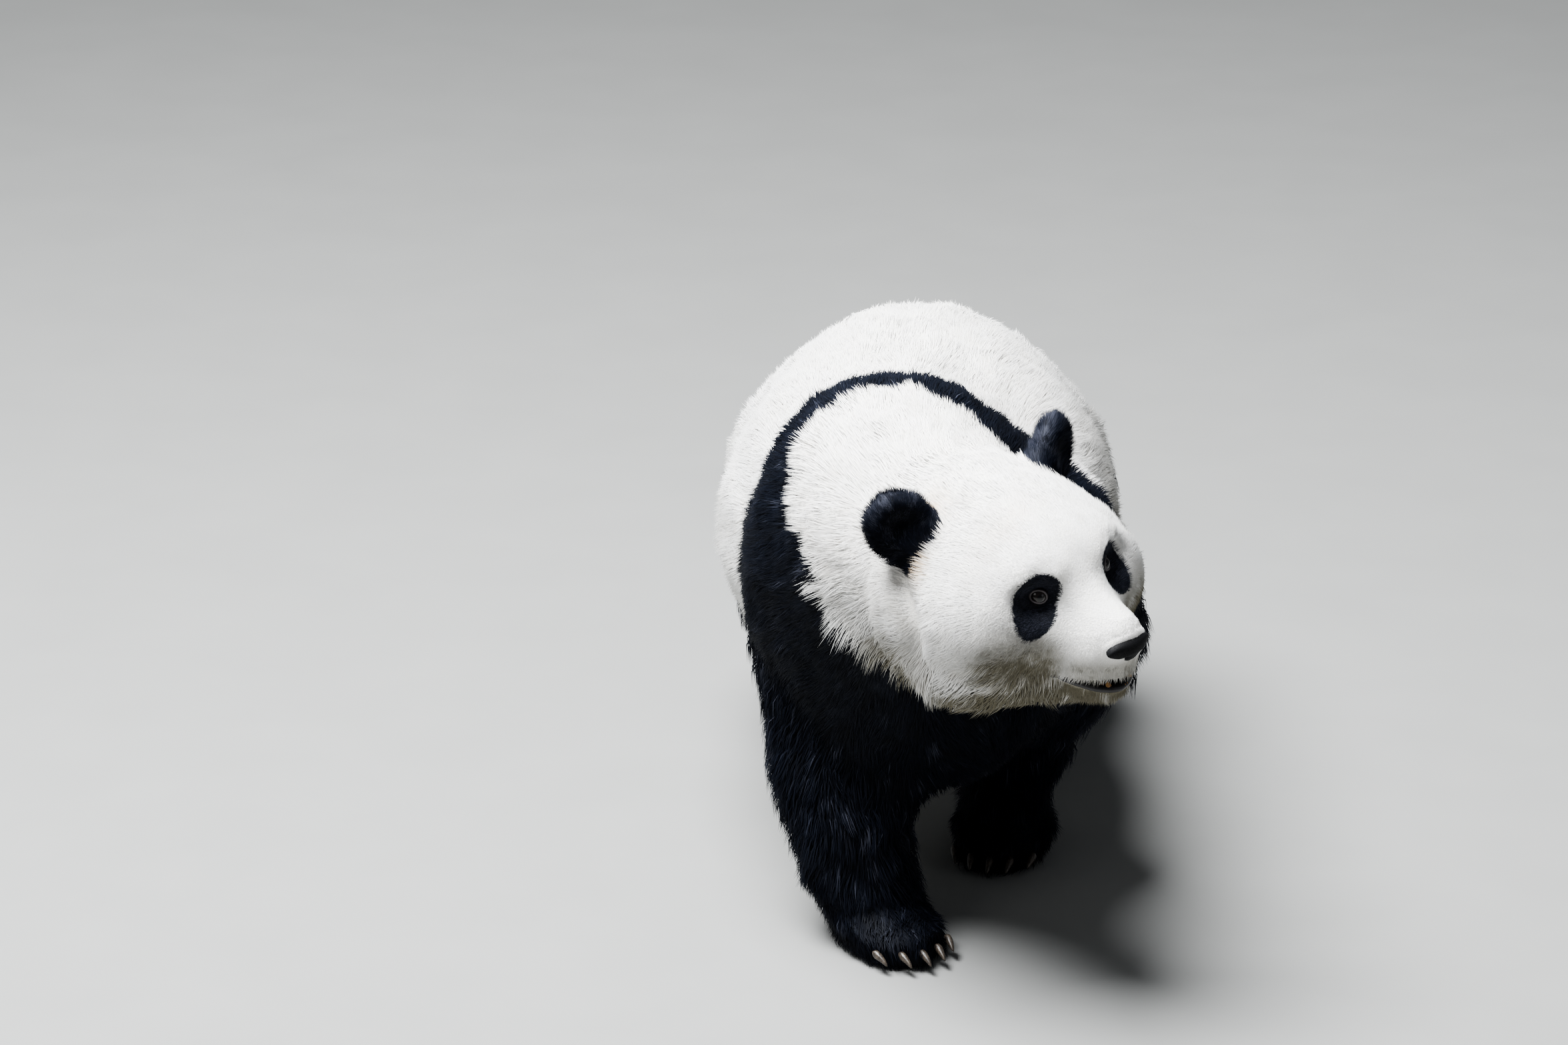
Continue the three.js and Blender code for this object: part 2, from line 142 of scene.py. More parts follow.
# one skin over all the flesh
skinLook = {
    "voxel": 0.0077,
    "finer": [  # in the head's axes: in front of this, this near the middle, between these heights
        (-0.015, 0.18, -0.17, 0.17),
        (-0.07, 0.09, -0.12, 0.12),
        (-0.106, 0.066, -0.104, -0.064),
    ],
    "smoothRounds": 40,
    "keepFine": 0.72,  # how much less the head, ears and paws are smoothed
}


def joinedMesh(name, nodes):
    shape = bmesh.new()
    for node in nodes:
        shape.from_mesh(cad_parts[node].data)
    bmesh.ops.remove_doubles(shape, verts=shape.verts, dist=1e-5)
    return meshFrom(shape, name)


def applied(made):
    mesh = bpy.data.meshes.new_from_object(made.evaluated_get(bpy.context.evaluated_depsgraph_get()))
    name = made.name
    bpy.data.objects.remove(made)
    mesh.name = name
    return mesh


rough = linked("skinRough", joinedMesh("skinRough", fleshNodes + ["eye_left", "eye_right", "nose"]))
remesh = rough.modifiers.new("voxels", "REMESH")
remesh.mode = "VOXEL"
remesh.voxel_size = skinLook["voxel"]
skinMesh = applied(rough)
shape = bmesh.new()
shape.from_mesh(skinMesh)
axesRows = [Vector(headAxes[:, k]) for k in range(3)]
originVector = Vector(headOrigin)


def keepLargestIsland(shape):  # the remesh leaves small shells inside
    unseen, best = set(shape.verts), set()
    while unseen:
        front = {unseen.pop()}
        island = set(front)
        while front:
            front = {edge.other_vert(vert) for vert in front for edge in vert.link_edges} - island
            island |= front
        unseen -= island
        best = max(best, island, key=len)
    bmesh.ops.delete(shape, geom=[vert for vert in shape.verts if vert not in best], context="VERTS")


def splitFiner(shape, back, half, low, high):
    chosen = set()
    for face in shape.faces:
        away = face.calc_center_median() - originVector
        x, y, z = (away.dot(row) for row in axesRows)
        if y < back and abs(x) < half and low < z < high:
            chosen.update(face.edges)
    edges = [edge for edge in shape.edges if edge in chosen]
    bmesh.ops.subdivide_edges(shape, edges=edges, cuts=1, use_grid_fill=True)
    bmesh.ops.triangulate(shape, faces=[face for face in shape.faces if len(face.verts) > 4])


keepLargestIsland(shape)
for zone in skinLook["finer"]:
    splitFiner(shape, *zone)
shape.to_mesh(skinMesh)
shape.free()
print("skin wrapped", len(skinMesh.vertices), "points")

spots = arrayOf(skinMesh.vertices, "co", 3)
edgeEnds = arrayOf(skinMesh.edges, "vertices", 2, np.int32)
neighbourCount = np.bincount(edgeEnds.ravel(), minlength=len(spots)).astype(float)


def spread(values, rounds, share=0.5):  # evens a value out along the skin
    one, other = edgeEnds[:, 0], edgeEnds[:, 1]
    values = values.copy().reshape(len(spots), -1)
    for _ in range(rounds):
        columns = [
            np.bincount(one, column[other], len(spots)) + np.bincount(other, column[one], len(spots))
            for column in values.T
        ]
        total = np.stack(columns, 1)
        values += np.reshape(share, (-1, 1)) * (total / neighbourCount[:, None] - values)
    return values


def placeSkin(message):  # moves the mesh to the spots, and gives its normals
    skinMesh.vertices.foreach_set("co", spots.ravel())
    skinMesh.update()
    print(message)
    return arrayOf(skinMesh.vertex_normals, "vector", 3)


# which part each point belongs to
corners, sides, owner = [], [], []
for index, node in enumerate(fleshNodes):
    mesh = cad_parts[node].data
    start = len(corners)
    corners += [tuple(v.co) for v in mesh.vertices]
    for face in mesh.polygons:
        sides.append([start + k for k in face.vertices])
        owner.append(index)
partTree = BVHTree.FromPolygons(corners, sides)
owner = np.array(owner)


def partAt(points):
    return np.array([owner[partTree.find_nearest(point)[2]] for point in points.tolist()])


def among(parts, names):
    return np.isin(parts, [fleshNodes.index(name) for name in names])


part = partAt(spots)
onHead = among(part, ["head", "face", "lower_jaw"])
onPaw = among(part, pawNodes)
onEar = among(part, earNodes)
onLeg = among(part, legNodes)
fine = (onHead | onEar | onPaw).astype(float)
mobility = 1.0 - skinLook["keepFine"] * spread(fine, 4)[:, 0]
for _ in range(skinLook["smoothRounds"]):
    for push in (0.55, -0.53):  # evened, then swelled back, so nothing shrinks
        spots = spread(spots, 1, push * mobility)
normals = placeSkin("skin smoothed")

# the coat over the body: length and width in metres, tufts to the square centimetre, lift in degrees
coatStyles = {
    "face": (0.012, 0.001, 26, 12),
    "head": (0.019, 0.0012, 20, 14),
    "lower_jaw": (0.02, 0.0012, 20, 20),
    "neck": (0.027, 0.00105, 22, 15),
    "shoulders": (0.029, 0.0014, 14, 18),
    "barrel": (0.031, 0.0014, 12, 16),
    "rump": (0.033, 0.0015, 11, 17),
    "tail": (0.048, 0.0022, 9, 24),
    "leg": (0.038, 0.0017, 11, 25),
    "paw": (0.02, 0.0015, 13, 24),
    "ear": (0.011, 0.00072, 66, 24),
}
kinds = [next((kind for kind in ("leg", "paw", "ear") if kind in node), node) for node in fleshNodes]
hairLength, hairWidth, hairDensity, hairLift = np.array([coatStyles[kind] for kind in kinds])[part].T
inHead = toHead(spots)
headY, headZ = inHead[:, 1], inHead[:, 2]
# on the head the hair grows from a few millimetres at the nose to long locks under the cheeks
headHair = {"nose": 0.0042, "toBack": 0.0115, "cheek": 0.033, "low": 0.006, "behind": 0.018, "width": 0.00068}
cheek = ease(0.02, 0.1, -headZ) * ease(-0.135, -0.055, headY)
headLength = headHair["nose"] + headHair["toBack"] * ease(-0.19, 0.0, headY)
headLength += headHair["cheek"] * cheek + headHair["low"] * ease(-0.045, -0.072, headZ)
headLength = np.where(headY > 0.0, np.maximum(headLength, headHair["behind"]), headLength)
hairLength = np.where(onHead, headLength, hairLength)
hairWidth = np.where(onHead, headHair["width"] + 0.018 * headLength, hairWidth)
hairDensity = np.where(onHead, np.clip(0.36 / headLength, 12, 52), hairDensity)
# the ruff behind the jaw is longer and sparser
ruffLook = {"longer": 0.034, "sparser": 6}
onNeck = among(part, ["neck"])
ruff = ease(-0.02, 0.07, -headZ) * ease(0.28, 0.12, headY)
hairLength = np.where(onNeck, hairLength + ruffLook["longer"] * ruff, hairLength)
hairDensity = np.where(onNeck, hairDensity - ruffLook["sparser"] * ruff, hairDensity)
hair = np.stack([hairLength, hairWidth, hairDensity, hairLift], 1)
hairLength, hairWidth, hairDensity, hairLift = spread(hair, 8).T
sole = ease(-0.5, -0.85, normals[:, 2]) * ease(0.03, 0.012, spots[:, 2])
earRim = np.zeros(len(spots))
for node in earNodes:
    fromEar = unit(spots - middleOf(node))
    earRim = np.where(among(part, [node]), np.clip((fromEar * normals).sum(1), 0, 1) ** 2, earRim)
coatDepth = hairLength * (0.06 + 0.95 * np.sin(np.radians(hairLift))) * (1 - 0.94 * sole)
coatDepth = np.where(onEar, 0.0034 + 0.005 * earRim, coatDepth)
hairLift = hairLift + 26 * earRim
coatDepth = spread(coatDepth, 4)[:, 0]
evenNormals = unit(spread(normals, 6))
spots = spots - evenNormals * coatDepth[:, None]
placeSkin("skin set in by the coat's depth")

# folds and hollows of the face, in the head's axes
skinPlaces = toHead(spots)
eyeLook = {
    "radius": 0.0125,
    "opening": (0.6, -0.78, 0.22),  # where the lids part, for the left eye
    "halfWidth": 0.0104,
    "upper": 0.0077,
    "lower": 0.0064,
    "raise": 0.0016,
    "slant": 12.0,
    "gaze": (0.4, -0.9, 0.1),
}
eyeSpots = {
    side: toHead(middleOf("eye_left" if side > 0 else "eye_right")) + [0, 0, eyeLook["raise"]]
    for side in (-1, 1)
}
mouthLook = {
    "corner": (-0.112, -0.076),
    "slopes": (0.04, 0.19),  # of the upper and the lower lip, towards the front
    "curl": 0.0042,  # how far the upper lip lifts over the canines
    "depth": 0.015,
}
noseLook = {
    "centre": (-0.001, -0.1862, -0.0362),
    "radii": (0.0345, 0.018, 0.0135),  # half the width, half the height and half the thickness
    "pitch": -0.95,
    "narrowing": 0.6,
    "nostril": (0.0125, 0.001),
    "squareness": 2.25,  # 2 is round
    "nostrilDeep": 0.003,
    "grooveDeep": 0.0012,
    "colour": (0.0035, 0.0035, 0.0042),
    "between": (0.009, 0.009, 0.01),  # between the pebbles of its grain
}
padCos, padSin = math.cos(noseLook["pitch"]), math.sin(noseLook["pitch"])


def mouthEdges(x, y):  # the heights of the upper and the lower lip
    run = np.clip(mouthLook["corner"][0] - y, 0, 0.09)
    curl = mouthLook["curl"] * hump(np.abs(x), 0.024, 0.014) * ease(0.03, 0.05, run)
    upper = mouthLook["corner"][1] - mouthLook["slopes"][0] * run + curl
    return upper, mouthLook["corner"][1] - mouthLook["slopes"][1] * run


def padReach(h):  # under 1 inside the nose pad
    x, y, z = (h - noseLook["centre"]).T
    place = np.stack([x, padCos * y + padSin * z, padCos * z - padSin * y], 1) / noseLook["radii"]
    place[:, 0] /= 1 - noseLook["narrowing"] * np.clip(place[:, 1] + 0.1, 0, 1)
    return np.linalg.norm(place, axis=1)


valleyLook = {
    "line": [
        (0.151, 0.04, 0.031), (0.157, 0.024, 0.013), (0.162, 0.01, -0.006),
        (0.163, 0.006, -0.045), (0.157, -0.002, -0.085),
    ],
    "deep": 0.013,
    "wide": 0.015,
    "ridge": 0.003,
    "ridgeAt": (-0.006, -0.022, 0.0),  # from the line, towards the cheek
    "ridgeWide": 0.016,
    "farShare": 0.25,  # slight on the side the head turns to
}


def valleyAt(h):  # the fold between cheek and neck: how far the skin sinks, and how far it swells in front
    line = np.array(valleyLook["line"])
    place = np.stack([np.abs(h[:, 0]), h[:, 1], h[:, 2]], 1)
    best = ahead = np.full(len(h), 9.0)
    for one, other in zip(line[:-1], line[1:]):
        run = other - one
        away = place - one - np.clip(((place - one) @ run) / (run @ run), 0, 1)[:, None] * run
        best = np.minimum(best, np.linalg.norm(away, axis=1))
        ahead = np.minimum(ahead, np.linalg.norm(away - valleyLook["ridgeAt"], axis=1))
    share = np.where(h[:, 0] < 0, 1.0, valleyLook["farShare"])
    return share * hump(best, 0, valleyLook["wide"]), share * hump(ahead, 0, valleyLook["ridgeWide"])


def mouthGape(h):  # 1 between the lips, fading over a millimetre or two
    x, y, z = h.T
    upper, lower = mouthEdges(x, y)
    run = mouthLook["corner"][0] - y
    between = ease(-0.001, 0.0008, z - lower) * ease(-0.001, 0.0008, upper - z)
    return between * ease(0.0, 0.01, run) * (np.abs(x) < 0.07)


def mirrored(values, side):
    return np.array([values[0] * side, values[1], values[2]])


faceLook = {
    "lidReach": 0.026,  # the skin slips behind the lids this near the eye
    "lidSink": 0.0022,
    "creaseAt": 0.03,
    "creaseHigh": 0.0012,
    "padSink": 0.01,
    "brim": 0.0022,
    "groove": 0.003,
}


def sculptFace(points):
    h = toHead(points)
    moved = h.copy()
    for side in (-1, 1):
        away = h - eyeSpots[side]
        far = np.linalg.norm(away, axis=1)
        slip = ease(faceLook["lidReach"], 0.013, far) * (far < faceLook["lidReach"])
        wanted = eyeSpots[side] + unit(away) * (eyeLook["radius"] - faceLook["lidSink"])
        moved += (wanted - h) * slip[:, None] * 0.85
        # a soft fold over and under the eye
        moved -= unit(away) * (faceLook["creaseHigh"] * hump(far, faceLook["creaseAt"], 0.004))[:, None]
    x, y, z = h.T
    reach, atNose = padReach(h), y < -0.15
    sink = faceLook["padSink"] * ease(0.9, 0.72, reach) * atNose
    moved += np.array([0.0, -padSin, padCos]) * sink[:, None]
    brim = ease(0.86, 0.96, reach) * ease(1.45, 1.1, reach) * ease(-0.04, -0.03, z) * atNose
    moved += np.array([0.0, -0.45, 0.9]) * (faceLook["brim"] * brim)[:, None]
    gape = mouthGape(h) * mouthLook["depth"]
    moved[:, 1] += gape
    moved += unit(np.stack([-x, -(y + 0.1), 0 * x], 1)) * (gape * 0.4)[:, None]
    # the groove under the nose
    moved[:, 1] += faceLook["groove"] * hump(x, 0, 0.0022) * ease(-0.16, -0.168, y) * (
        ease(-0.08, -0.074, z) * ease(-0.05, -0.056, z)
    )
    sunk, swell = valleyAt(h)
    outward = unit(h - [0.0, -0.01, -0.01])
    moved += outward * (valleyLook["ridge"] * swell * (1 - sunk) - valleyLook["deep"] * sunk)[:, None]
    return fromHead(moved)


spots = sculptFace(spots)
spots[:, 2] = np.maximum(spots[:, 2], 0.0012)
normals = placeSkin("face sculpted")

# the lie of the coat
def lieOfCoat():
    steep = 1 - np.abs(normals[:, 2])
    none = 0 * steep
    ways = np.stack([none, none + 1, -0.12 - 0.55 * steep - 1.6 * np.clip(normals[:, 1], 0, 1) ** 2], 1)
    neckWay = 0.9 * unit(spots - fromHead([0.0, -0.02, -0.01]))
    neckWay = neckWay + np.stack([none, none + 0.7, -0.75 * steep], 1)
    ways = np.where(onNeck[:, None], neckWay, ways)
    onTail = among(part, ["tail"])
    for chosen, way in ((onLeg, (0, 0.16, -1)), (onPaw, (0, -0.75, -0.65)), (onTail, (0, 0.15, -1))):
        ways = np.where(chosen[:, None], np.array(way, float), ways)
    for side, node in zip((-1, 1), earNodes):
        earRoot = fromHead([side * 0.108, 0.06, 0.066])
        ways = np.where(among(part, [node])[:, None], unit(spots - earRoot), ways)
    x, y, z = inHead.T
    # on the head it fans out from the nose, and sags under the cheeks and the chin
    sag = 0.15 + 1.0 * ease(0.0, 0.09, -z) + 0.25 * ease(0.04, 0.1, np.abs(x))
    lift = 0.3 * ease(0.02, 0.08, z) * ease(-0.16, -0.08, y) - sag * ease(0.06, 0.0, z)
    beard = ease(-0.088, -0.105, z) * ease(-0.02, -0.1, y)
    headWay = unit(inHead - [0.0, -0.178, -0.004])
    headWay += np.stack([0 * x, 0.25 * ease(-0.08, 0.06, y) + 0.2 * beard, lift - 0.5 * beard], 1)
    ways = unit(np.where(onHead[:, None], unit(headWay) @ headAxes.T, ways))
    for _ in range(8):
        ways = spread(ways, 2)
        ways = unit(ways - normals * (ways * normals).sum(1)[:, None])
    return ways


lie = lieOfCoat()
print("lie of the coat laid")

# markings: the parts are white or black, and the eye patches are drawn round the eyes
patchLook = {
    "right": {"offset": (0.0195, -0.005), "halfWidth": 0.029, "halfHeight": 0.0435},
    "left": {"offset": (0.012, -0.004), "halfWidth": 0.0245, "halfHeight": 0.042},
    "slant": 31.0,
}


def eyePatch(points):  # above 0 inside a patch
    h = toHead(points)
    best = np.full(len(h), -9.0)
    slant = math.radians(patchLook["slant"])
    for side in (-1, 1):
        patch = patchLook["left" if side > 0 else "right"]
        x = side * h[:, 0] - abs(eyeSpots[side][0]) - patch["offset"][0]
        z = h[:, 2] - eyeSpots[side][2] - patch["offset"][1]
        along = -math.sin(slant) * x + math.cos(slant) * z
        across = math.cos(slant) * x + math.sin(slant) * z
        narrow = 0.97 + 0.09 * np.clip(along / patch["halfHeight"], -1, 1)
        value = 1 - (across / (patch["halfWidth"] * narrow)) ** 2 - (along / patch["halfHeight"]) ** 2
        value = np.where((side * h[:, 0] > 0.012) & (h[:, 1] < -0.03), value, -9.0)
        best = np.maximum(best, value)
    return best


markLook = {  # middles and radii in the head's axes
    "behindJaw": ((0.15, 0.062, -0.152), (0.09, 0.088, 0.07)),
    "earFoot": ((0.147, 0.042, 0.05), (0.03, 0.01, 0.014)),
    "bandBack": 0.245,  # on the left flank the black band ends here
    "stray": 0.008,
}


def blackAt(points, parts):
    h = toHead(points)
    mirroredPlace = np.stack([np.abs(h[:, 0]), h[:, 1], h[:, 2]], 1)
    marked = (eggReach(h, *markLook["behindJaw"]) < 1) | (eggReach(mirroredPlace, *markLook["earFoot"]) < 1)
    marked |= (eyePatch(points) > 0) & among(parts, ["head", "face"])
    bandEnd = markLook["bandBack"] + 0.1 * ease(0.5, 0.4, points[:, 2])
    farFlank = (points[:, 0] > 0.15) & (points[:, 1] > bandEnd)
    return (~among(parts, whiteNodes) & ~(farFlank & among(parts, ["shoulders"]))) | marked


def strayed(points, parts):  # uneven borders between white and black on the body
    sway = markLook["stray"] * drift(points, 0.1, 8)
    return points + sway * (~among(parts, ["head", "face", "lower_jaw"] + earNodes))[:, None]


# tufts: thin solid locks as joined meshes
skin = linked("skin", skinMesh)
for polygon in skinMesh.polygons:
    polygon.use_smooth = True
bpy.context.view_layer.objects.active = skin
skin.select_set(True)
bpy.ops.object.mode_set(mode="EDIT")
bpy.ops.mesh.select_all(action="SELECT")
bpy.ops.uv.smart_project(angle_limit=math.radians(70), island_margin=0.003)
bpy.ops.object.mode_set(mode="OBJECT")
skinMesh.uv_layers[0].name = "OFBake"
print("skin unwrapped")

skinMesh.calc_loop_triangles()
triVerts = arrayOf(skinMesh.loop_triangles, "vertices", 3, np.int32)
triLoops = arrayOf(skinMesh.loop_triangles, "loops", 3, np.int32)
skinUv = arrayOf(skinMesh.uv_layers["OFBake"].data, "uv", 2)
triCorners = [spots[triVerts[:, k]] for k in range(3)]
triArea = np.linalg.norm(np.cross(triCorners[1] - triCorners[0], triCorners[2] - triCorners[0]), axis=1) / 2

# nothing grows on the eyes, the nose pad, in the mouth or under the soles
h = toHead(spots)
upperEdge, lowerEdge = mouthEdges(h[:, 0], h[:, 1])
mouthRun = mouthLook["corner"][0] - h[:, 1]
lipTall = 0.006 + 0.0035 * ease(0.001, 0.012, mouthRun) - 0.0015 * ease(0.02, 0.04, mouthRun)
onLip = (h[:, 2] < upperEdge + 0.0004) & (h[:, 2] > lowerEdge - lipTall)
onLip &= (mouthRun > 0.0) & (np.abs(h[:, 0]) < 0.07)
bare = [ease(0.0165, 0.0145, np.linalg.norm(h - eyeSpots[side], axis=1)) for side in (-1, 1)]
bare = np.maximum.reduce(bare + [ease(0.88, 0.82, padReach(h)) * (h[:, 1] < -0.15), onLip, sole])
patchEdge = hump(eyePatch(spots), 0, 0.55) * onHead  # finer and denser hair draws the patches' edges
hairDensity = hairDensity * (1 - bare) * (1 + 0.7 * patchEdge)
hairWidth = hairWidth * (1 - 0.32 * patchEdge)
hairLength = hairLength * (1 - 0.15 * patchEdge)

coatLook = {
    "seed": 11,
    "amount": 1.0,
    "quickWidth": 1.0,
    "patch": 0.003,  # a tuft's patch on the skin's own unwrap
    "lengths": (0.72, 1.18),  # how far the tufts differ from their part's style
    "widths": (0.75, 1.25),
    "lifts": (0.45, 1.45),
    "leaders": 0.055,  # of all tufts
    "clump": (0.08, 0.5),
    "bent": 0.023,  # tufts shorter than this are straight
    "bentShare": 0.28,
    "mostlyBent": 0.045,
    "mostlyBentOnHead": 0.034,
    "bends": (1.45, 0.35),  # a bent tuft's lift at its root and at its tip, against its own
    "middle": 0.45,  # where along its length it bends
    "rooted": 0.0012,  # how deep the tufts start under the skin
    "floor": 0.0008,
    "covers": 0.62,
    "softness": 0.36,  # how far a tuft's own sides show in its shading
    "pieceFaces": 190000,
}
luck = np.random.default_rng(coatLook["seed"])
wanted = hairDensity[triVerts].mean(1) * triArea * 1e4 * coatLook["amount"]
each = np.floor(wanted + luck.random(len(wanted))).astype(int)
home = np.repeat(np.arange(len(each)), each)
count = len(home)
a, b = luck.random(count), luck.random(count)
flip = a + b > 1
a[flip], b[flip] = 1 - a[flip], 1 - b[flip]
share = np.stack([1 - a - b, a, b], 1)


def atRoot(values):
    return (values[triVerts[home]] * share.reshape(count, 3, *([1] * (values.ndim - 1)))).sum(1)


root = atRoot(spots)
rootNormal = unit(atRoot(normals))
rootLie = atRoot(lie)
rootUv = (skinUv[triLoops[home]] * share[:, :, None]).sum(1)
tuftLength = atRoot(hairLength) * luck.uniform(*coatLook["lengths"], count)
tuftWidth = atRoot(hairWidth) * luck.uniform(*coatLook["widths"], count) * coatLook["quickWidth"]
tuftLift = np.radians(atRoot(hairLift) * luck.uniform(*coatLook["lifts"], count))
# swirls of a few sizes keep the lie from looking combed
sway = 0.16 * drift(root, 0.11, 1) + 0.12 * drift(root, 0.035, 2) + 0.1 * luck.normal(size=(count, 3))
rootLie = rootLie + sway
rootLie = unit(rootLie - rootNormal * (rootLie * rootNormal).sum(1)[:, None])
tuftLength *= 1 + 0.14 * drift(root, 0.045, 3)[:, 0]
# a tuft has the colour of the place that most of it covers
reach = root + rootLie * (tuftLength * coatLook["covers"] * np.cos(tuftLift))[:, None]
reach = reach + rootNormal * atRoot(coatDepth)[:, None]
rootPart = part[triVerts[home, 0]]
reach = strayed(reach, rootPart)
hangs = among(rootPart, ["neck"]) & (toHead(root)[:, 2] < -0.03)  # the low ruff stays white over the black
seenPart = np.where(hangs, rootPart, partAt(reach))
tuftBlack = blackAt(reach, seenPart)
print("tufts planted", count)

# locks: the tips of neighbours lean towards a leader
leaders = np.flatnonzero(luck.random(count) < coatLook["leaders"])
leaderTree = kdtree.KDTree(len(leaders))
for slotIndex, k in enumerate(leaders.tolist()):
    leaderTree.insert(root[k], slotIndex)
leaderTree.balance()
nearest = leaders[[leaderTree.find(point)[1] for point in root.tolist()]]
clump = np.clip(0.1 + 14.0 * (tuftLength - 0.02), *coatLook["clump"]) * luck.uniform(0.5, 1.2, count)
clump = np.where(tuftBlack == tuftBlack[nearest], clump, 0)
leadWay = rootLie * np.cos(tuftLift)[:, None] + rootNormal * np.sin(tuftLift)[:, None]
leadTip = root + leadWay * tuftLength[:, None] * 0.97

# a straight tuft is a three-sided spike; a bent one has a second ring half way
spikeFaces = [(0, 2, 1), (0, 1, 3), (1, 2, 3), (2, 0, 3)]
bentFaces = [(0, 2, 1), (0, 1, 4), (1, 2, 5), (2, 0, 3), (0, 4, 3), (1, 5, 4), (2, 3, 5)]
bentFaces += [(3, 4, 6), (4, 5, 6), (5, 3, 6)]


def buildCoat(name, index, bent):
    n = len(index)
    foot, out, way = root[index], rootNormal[index], rootLie[index]
    length, lift = tuftLength[index], tuftLift[index]
    firstLift, lastLift = (lift * share for share in (coatLook["bends"] if bent else (1, 1)))
    across = np.cross(way, out)

    def along(angle, far):
        return (way * np.cos(angle)[:, None] + out * np.sin(angle)[:, None]) * far[:, None]

    bendAt = coatLook["middle"] if bent else 0
    middle = foot + along(firstLift, length * bendAt)
    tip = middle + along(lastLift, length * (1 - bendAt))
    pull = leadTip[nearest[index]] - tip
    strength = clump[index] * np.clip(1.2 * length / np.maximum(np.linalg.norm(pull, axis=1), 1e-6), 0, 1)
    tip = tip + pull * strength[:, None]
    middle = middle + pull * (strength * 0.35)[:, None]
    rise = unit(np.cross(across, along(firstLift, np.ones(n))))
    rise = np.where((rise * out).sum(1)[:, None] < 0, -rise, rise)
    half = tuftWidth[index][:, None] / 2
    base = foot - out * coatLook["rooted"]
    rows = [base - across * half, base + across * half, base + rise * half * 1.1]
    if bent:
        rows += [middle - across * half * 0.9, middle + across * half * 0.9, middle + rise * half]
    points = np.stack(rows + [tip], 1)
    points[:, :, 2] = np.maximum(points[:, :, 2], coatLook["floor"])
    size = points.shape[1]
    faces = np.array(bentFaces if bent else spikeFaces)
    # turn the faces if the tufts came out inside out
    some = points[:400] - points[:400].mean(1, keepdims=True)
    volume = sum((some[:, a] * np.cross(some[:, b], some[:, c])).sum(1) for a, b, c in faces)
    if np.median(volume) < 0:
        faces = faces[:, ::-1]
    mesh = bpy.data.meshes.new(name)
    indices = (np.arange(n)[:, None, None] * size + faces[None]).reshape(-1, 3)
    mesh.from_pydata(points.reshape(-1, 3), [], indices)
    patch = coatLook["patch"] / 2
    offsets = [(-patch, -patch), (patch, -patch), (0, -patch * 0.6)]
    if bent:
        offsets += [(-patch, 0), (patch, 0), (0, patch * 0.2)]
    places = (rootUv[index][:, None, :] + np.array(offsets + [(0, patch)])[None]).reshape(-1, 2)
    uv = mesh.uv_layers.new(name="OFBake")
    uv.data.foreach_set("uv", places[indices.ravel()].ravel().astype(np.float32))
    steps = np.array([0, 0, 0, 0.5, 0.5, 0.5, 1] if bent else [0, 0, 0, 1], np.float32)[None]
    putValues(mesh, "along", (steps + (1 - steps) * lightRoot[index][:, None]).ravel())
    for label, values in tuftValues.items():
        putValues(mesh, label, np.repeat(values[index], size))
    finished(name, mesh, coatMaterial)
    own = [-across * 0.8, across * 0.8, rise] * (2 if bent else 1) + [unit(tip - base) * 0.35]
    softNormals = unit(np.stack(own, 1) * coatLook["softness"] + out[:, None, :])
    mesh.normals_split_custom_set_from_vertices(softNormals.reshape(-1, 3))
    print(name, len(mesh.polygons))
    return len(mesh.polygons)


# how strongly each place takes the grey-brown of stains and painted shade
stainAndShadeLook = {"cheek": 1.0, "muzzle": 0.55, "neck": 0.7, "low": 0.36, "flank": 0.34, "fold": 0.52}
tanLook = {"crown": 0.65, "earFoot": 0.9, "brow": 0.22, "back": 0.06}


def stainAndShadeAt(points):  # grey-brown under the jaw and cheeks and low on the body, partly stain and partly painted shade; only painted shade in the fold and under the nose
    h = toHead(points)
    deep, back = -h[:, 2], h[:, 1]
    # under the jaw and cheeks: grey-brown stain and painted shade
    cheek = ease(0.035, 0.06, np.abs(h[:, 0])) * hump(back, -0.1, 0.037) * hump(deep, 0.057, 0.05)
    under = np.maximum(stainAndShadeLook["cheek"] * cheek, ease(0.062, 0.098, deep) * ease(0.05, -0.03, back))
    # painted shade on the lower side of the muzzle, under the nose
    under = np.maximum(under, stainAndShadeLook["muzzle"] * ease(0.036, 0.058, deep) * ease(-0.11, -0.15, back))
    # the low neck, the lower body and the left flank darker: partly dirt, partly painted shade
    neck = ease(0.015, 0.075, deep - 0.35 * np.maximum(back - 0.06, 0))
    neck = neck * ease(0.0, 0.06, back) * ease(0.3, 0.15, back)
    low = ease(0.5, 0.24, points[:, 2]) * ease(-0.1, 0.0, points[:, 1])
    flank = ease(0.11, 0.24, points[:, 0]) * ease(-0.15, 0.05, points[:, 1])
    # painted shade in the fold between cheek and neck
    fold = valleyAt(h - [0, 0.01, 0])[0] * ease(-0.06, 0.0, back)
    for key, values in (("neck", neck), ("low", low), ("flank", flank), ("fold", fold)):
        under = under + stainAndShadeLook[key] * values
    return np.clip(under, 0, 1)


def tanAt(points):  # warm stains on the crown, before the ear and on the brow
    h = toHead(points)
    x, y, z = h.T
    crown = tanLook["crown"] * hump(x, -0.082, 0.024) * hump(y, 0.046, 0.026) * (z > 0.05)
    foot = tanLook["earFoot"] * hump(eggReach(h, (-0.138, 0.02, 0.055), (0.03, 0.013, 0.018)), 0, 1)
    brow = tanLook["brow"] * hump(x, -0.05, 0.06) * hump(y, -0.045, 0.02) * (z > 0.04)
    return np.clip(crown + foot + brow + tanLook["back"] * ease(-0.06, 0.06, y) * (z > -0.02), 0, 1)


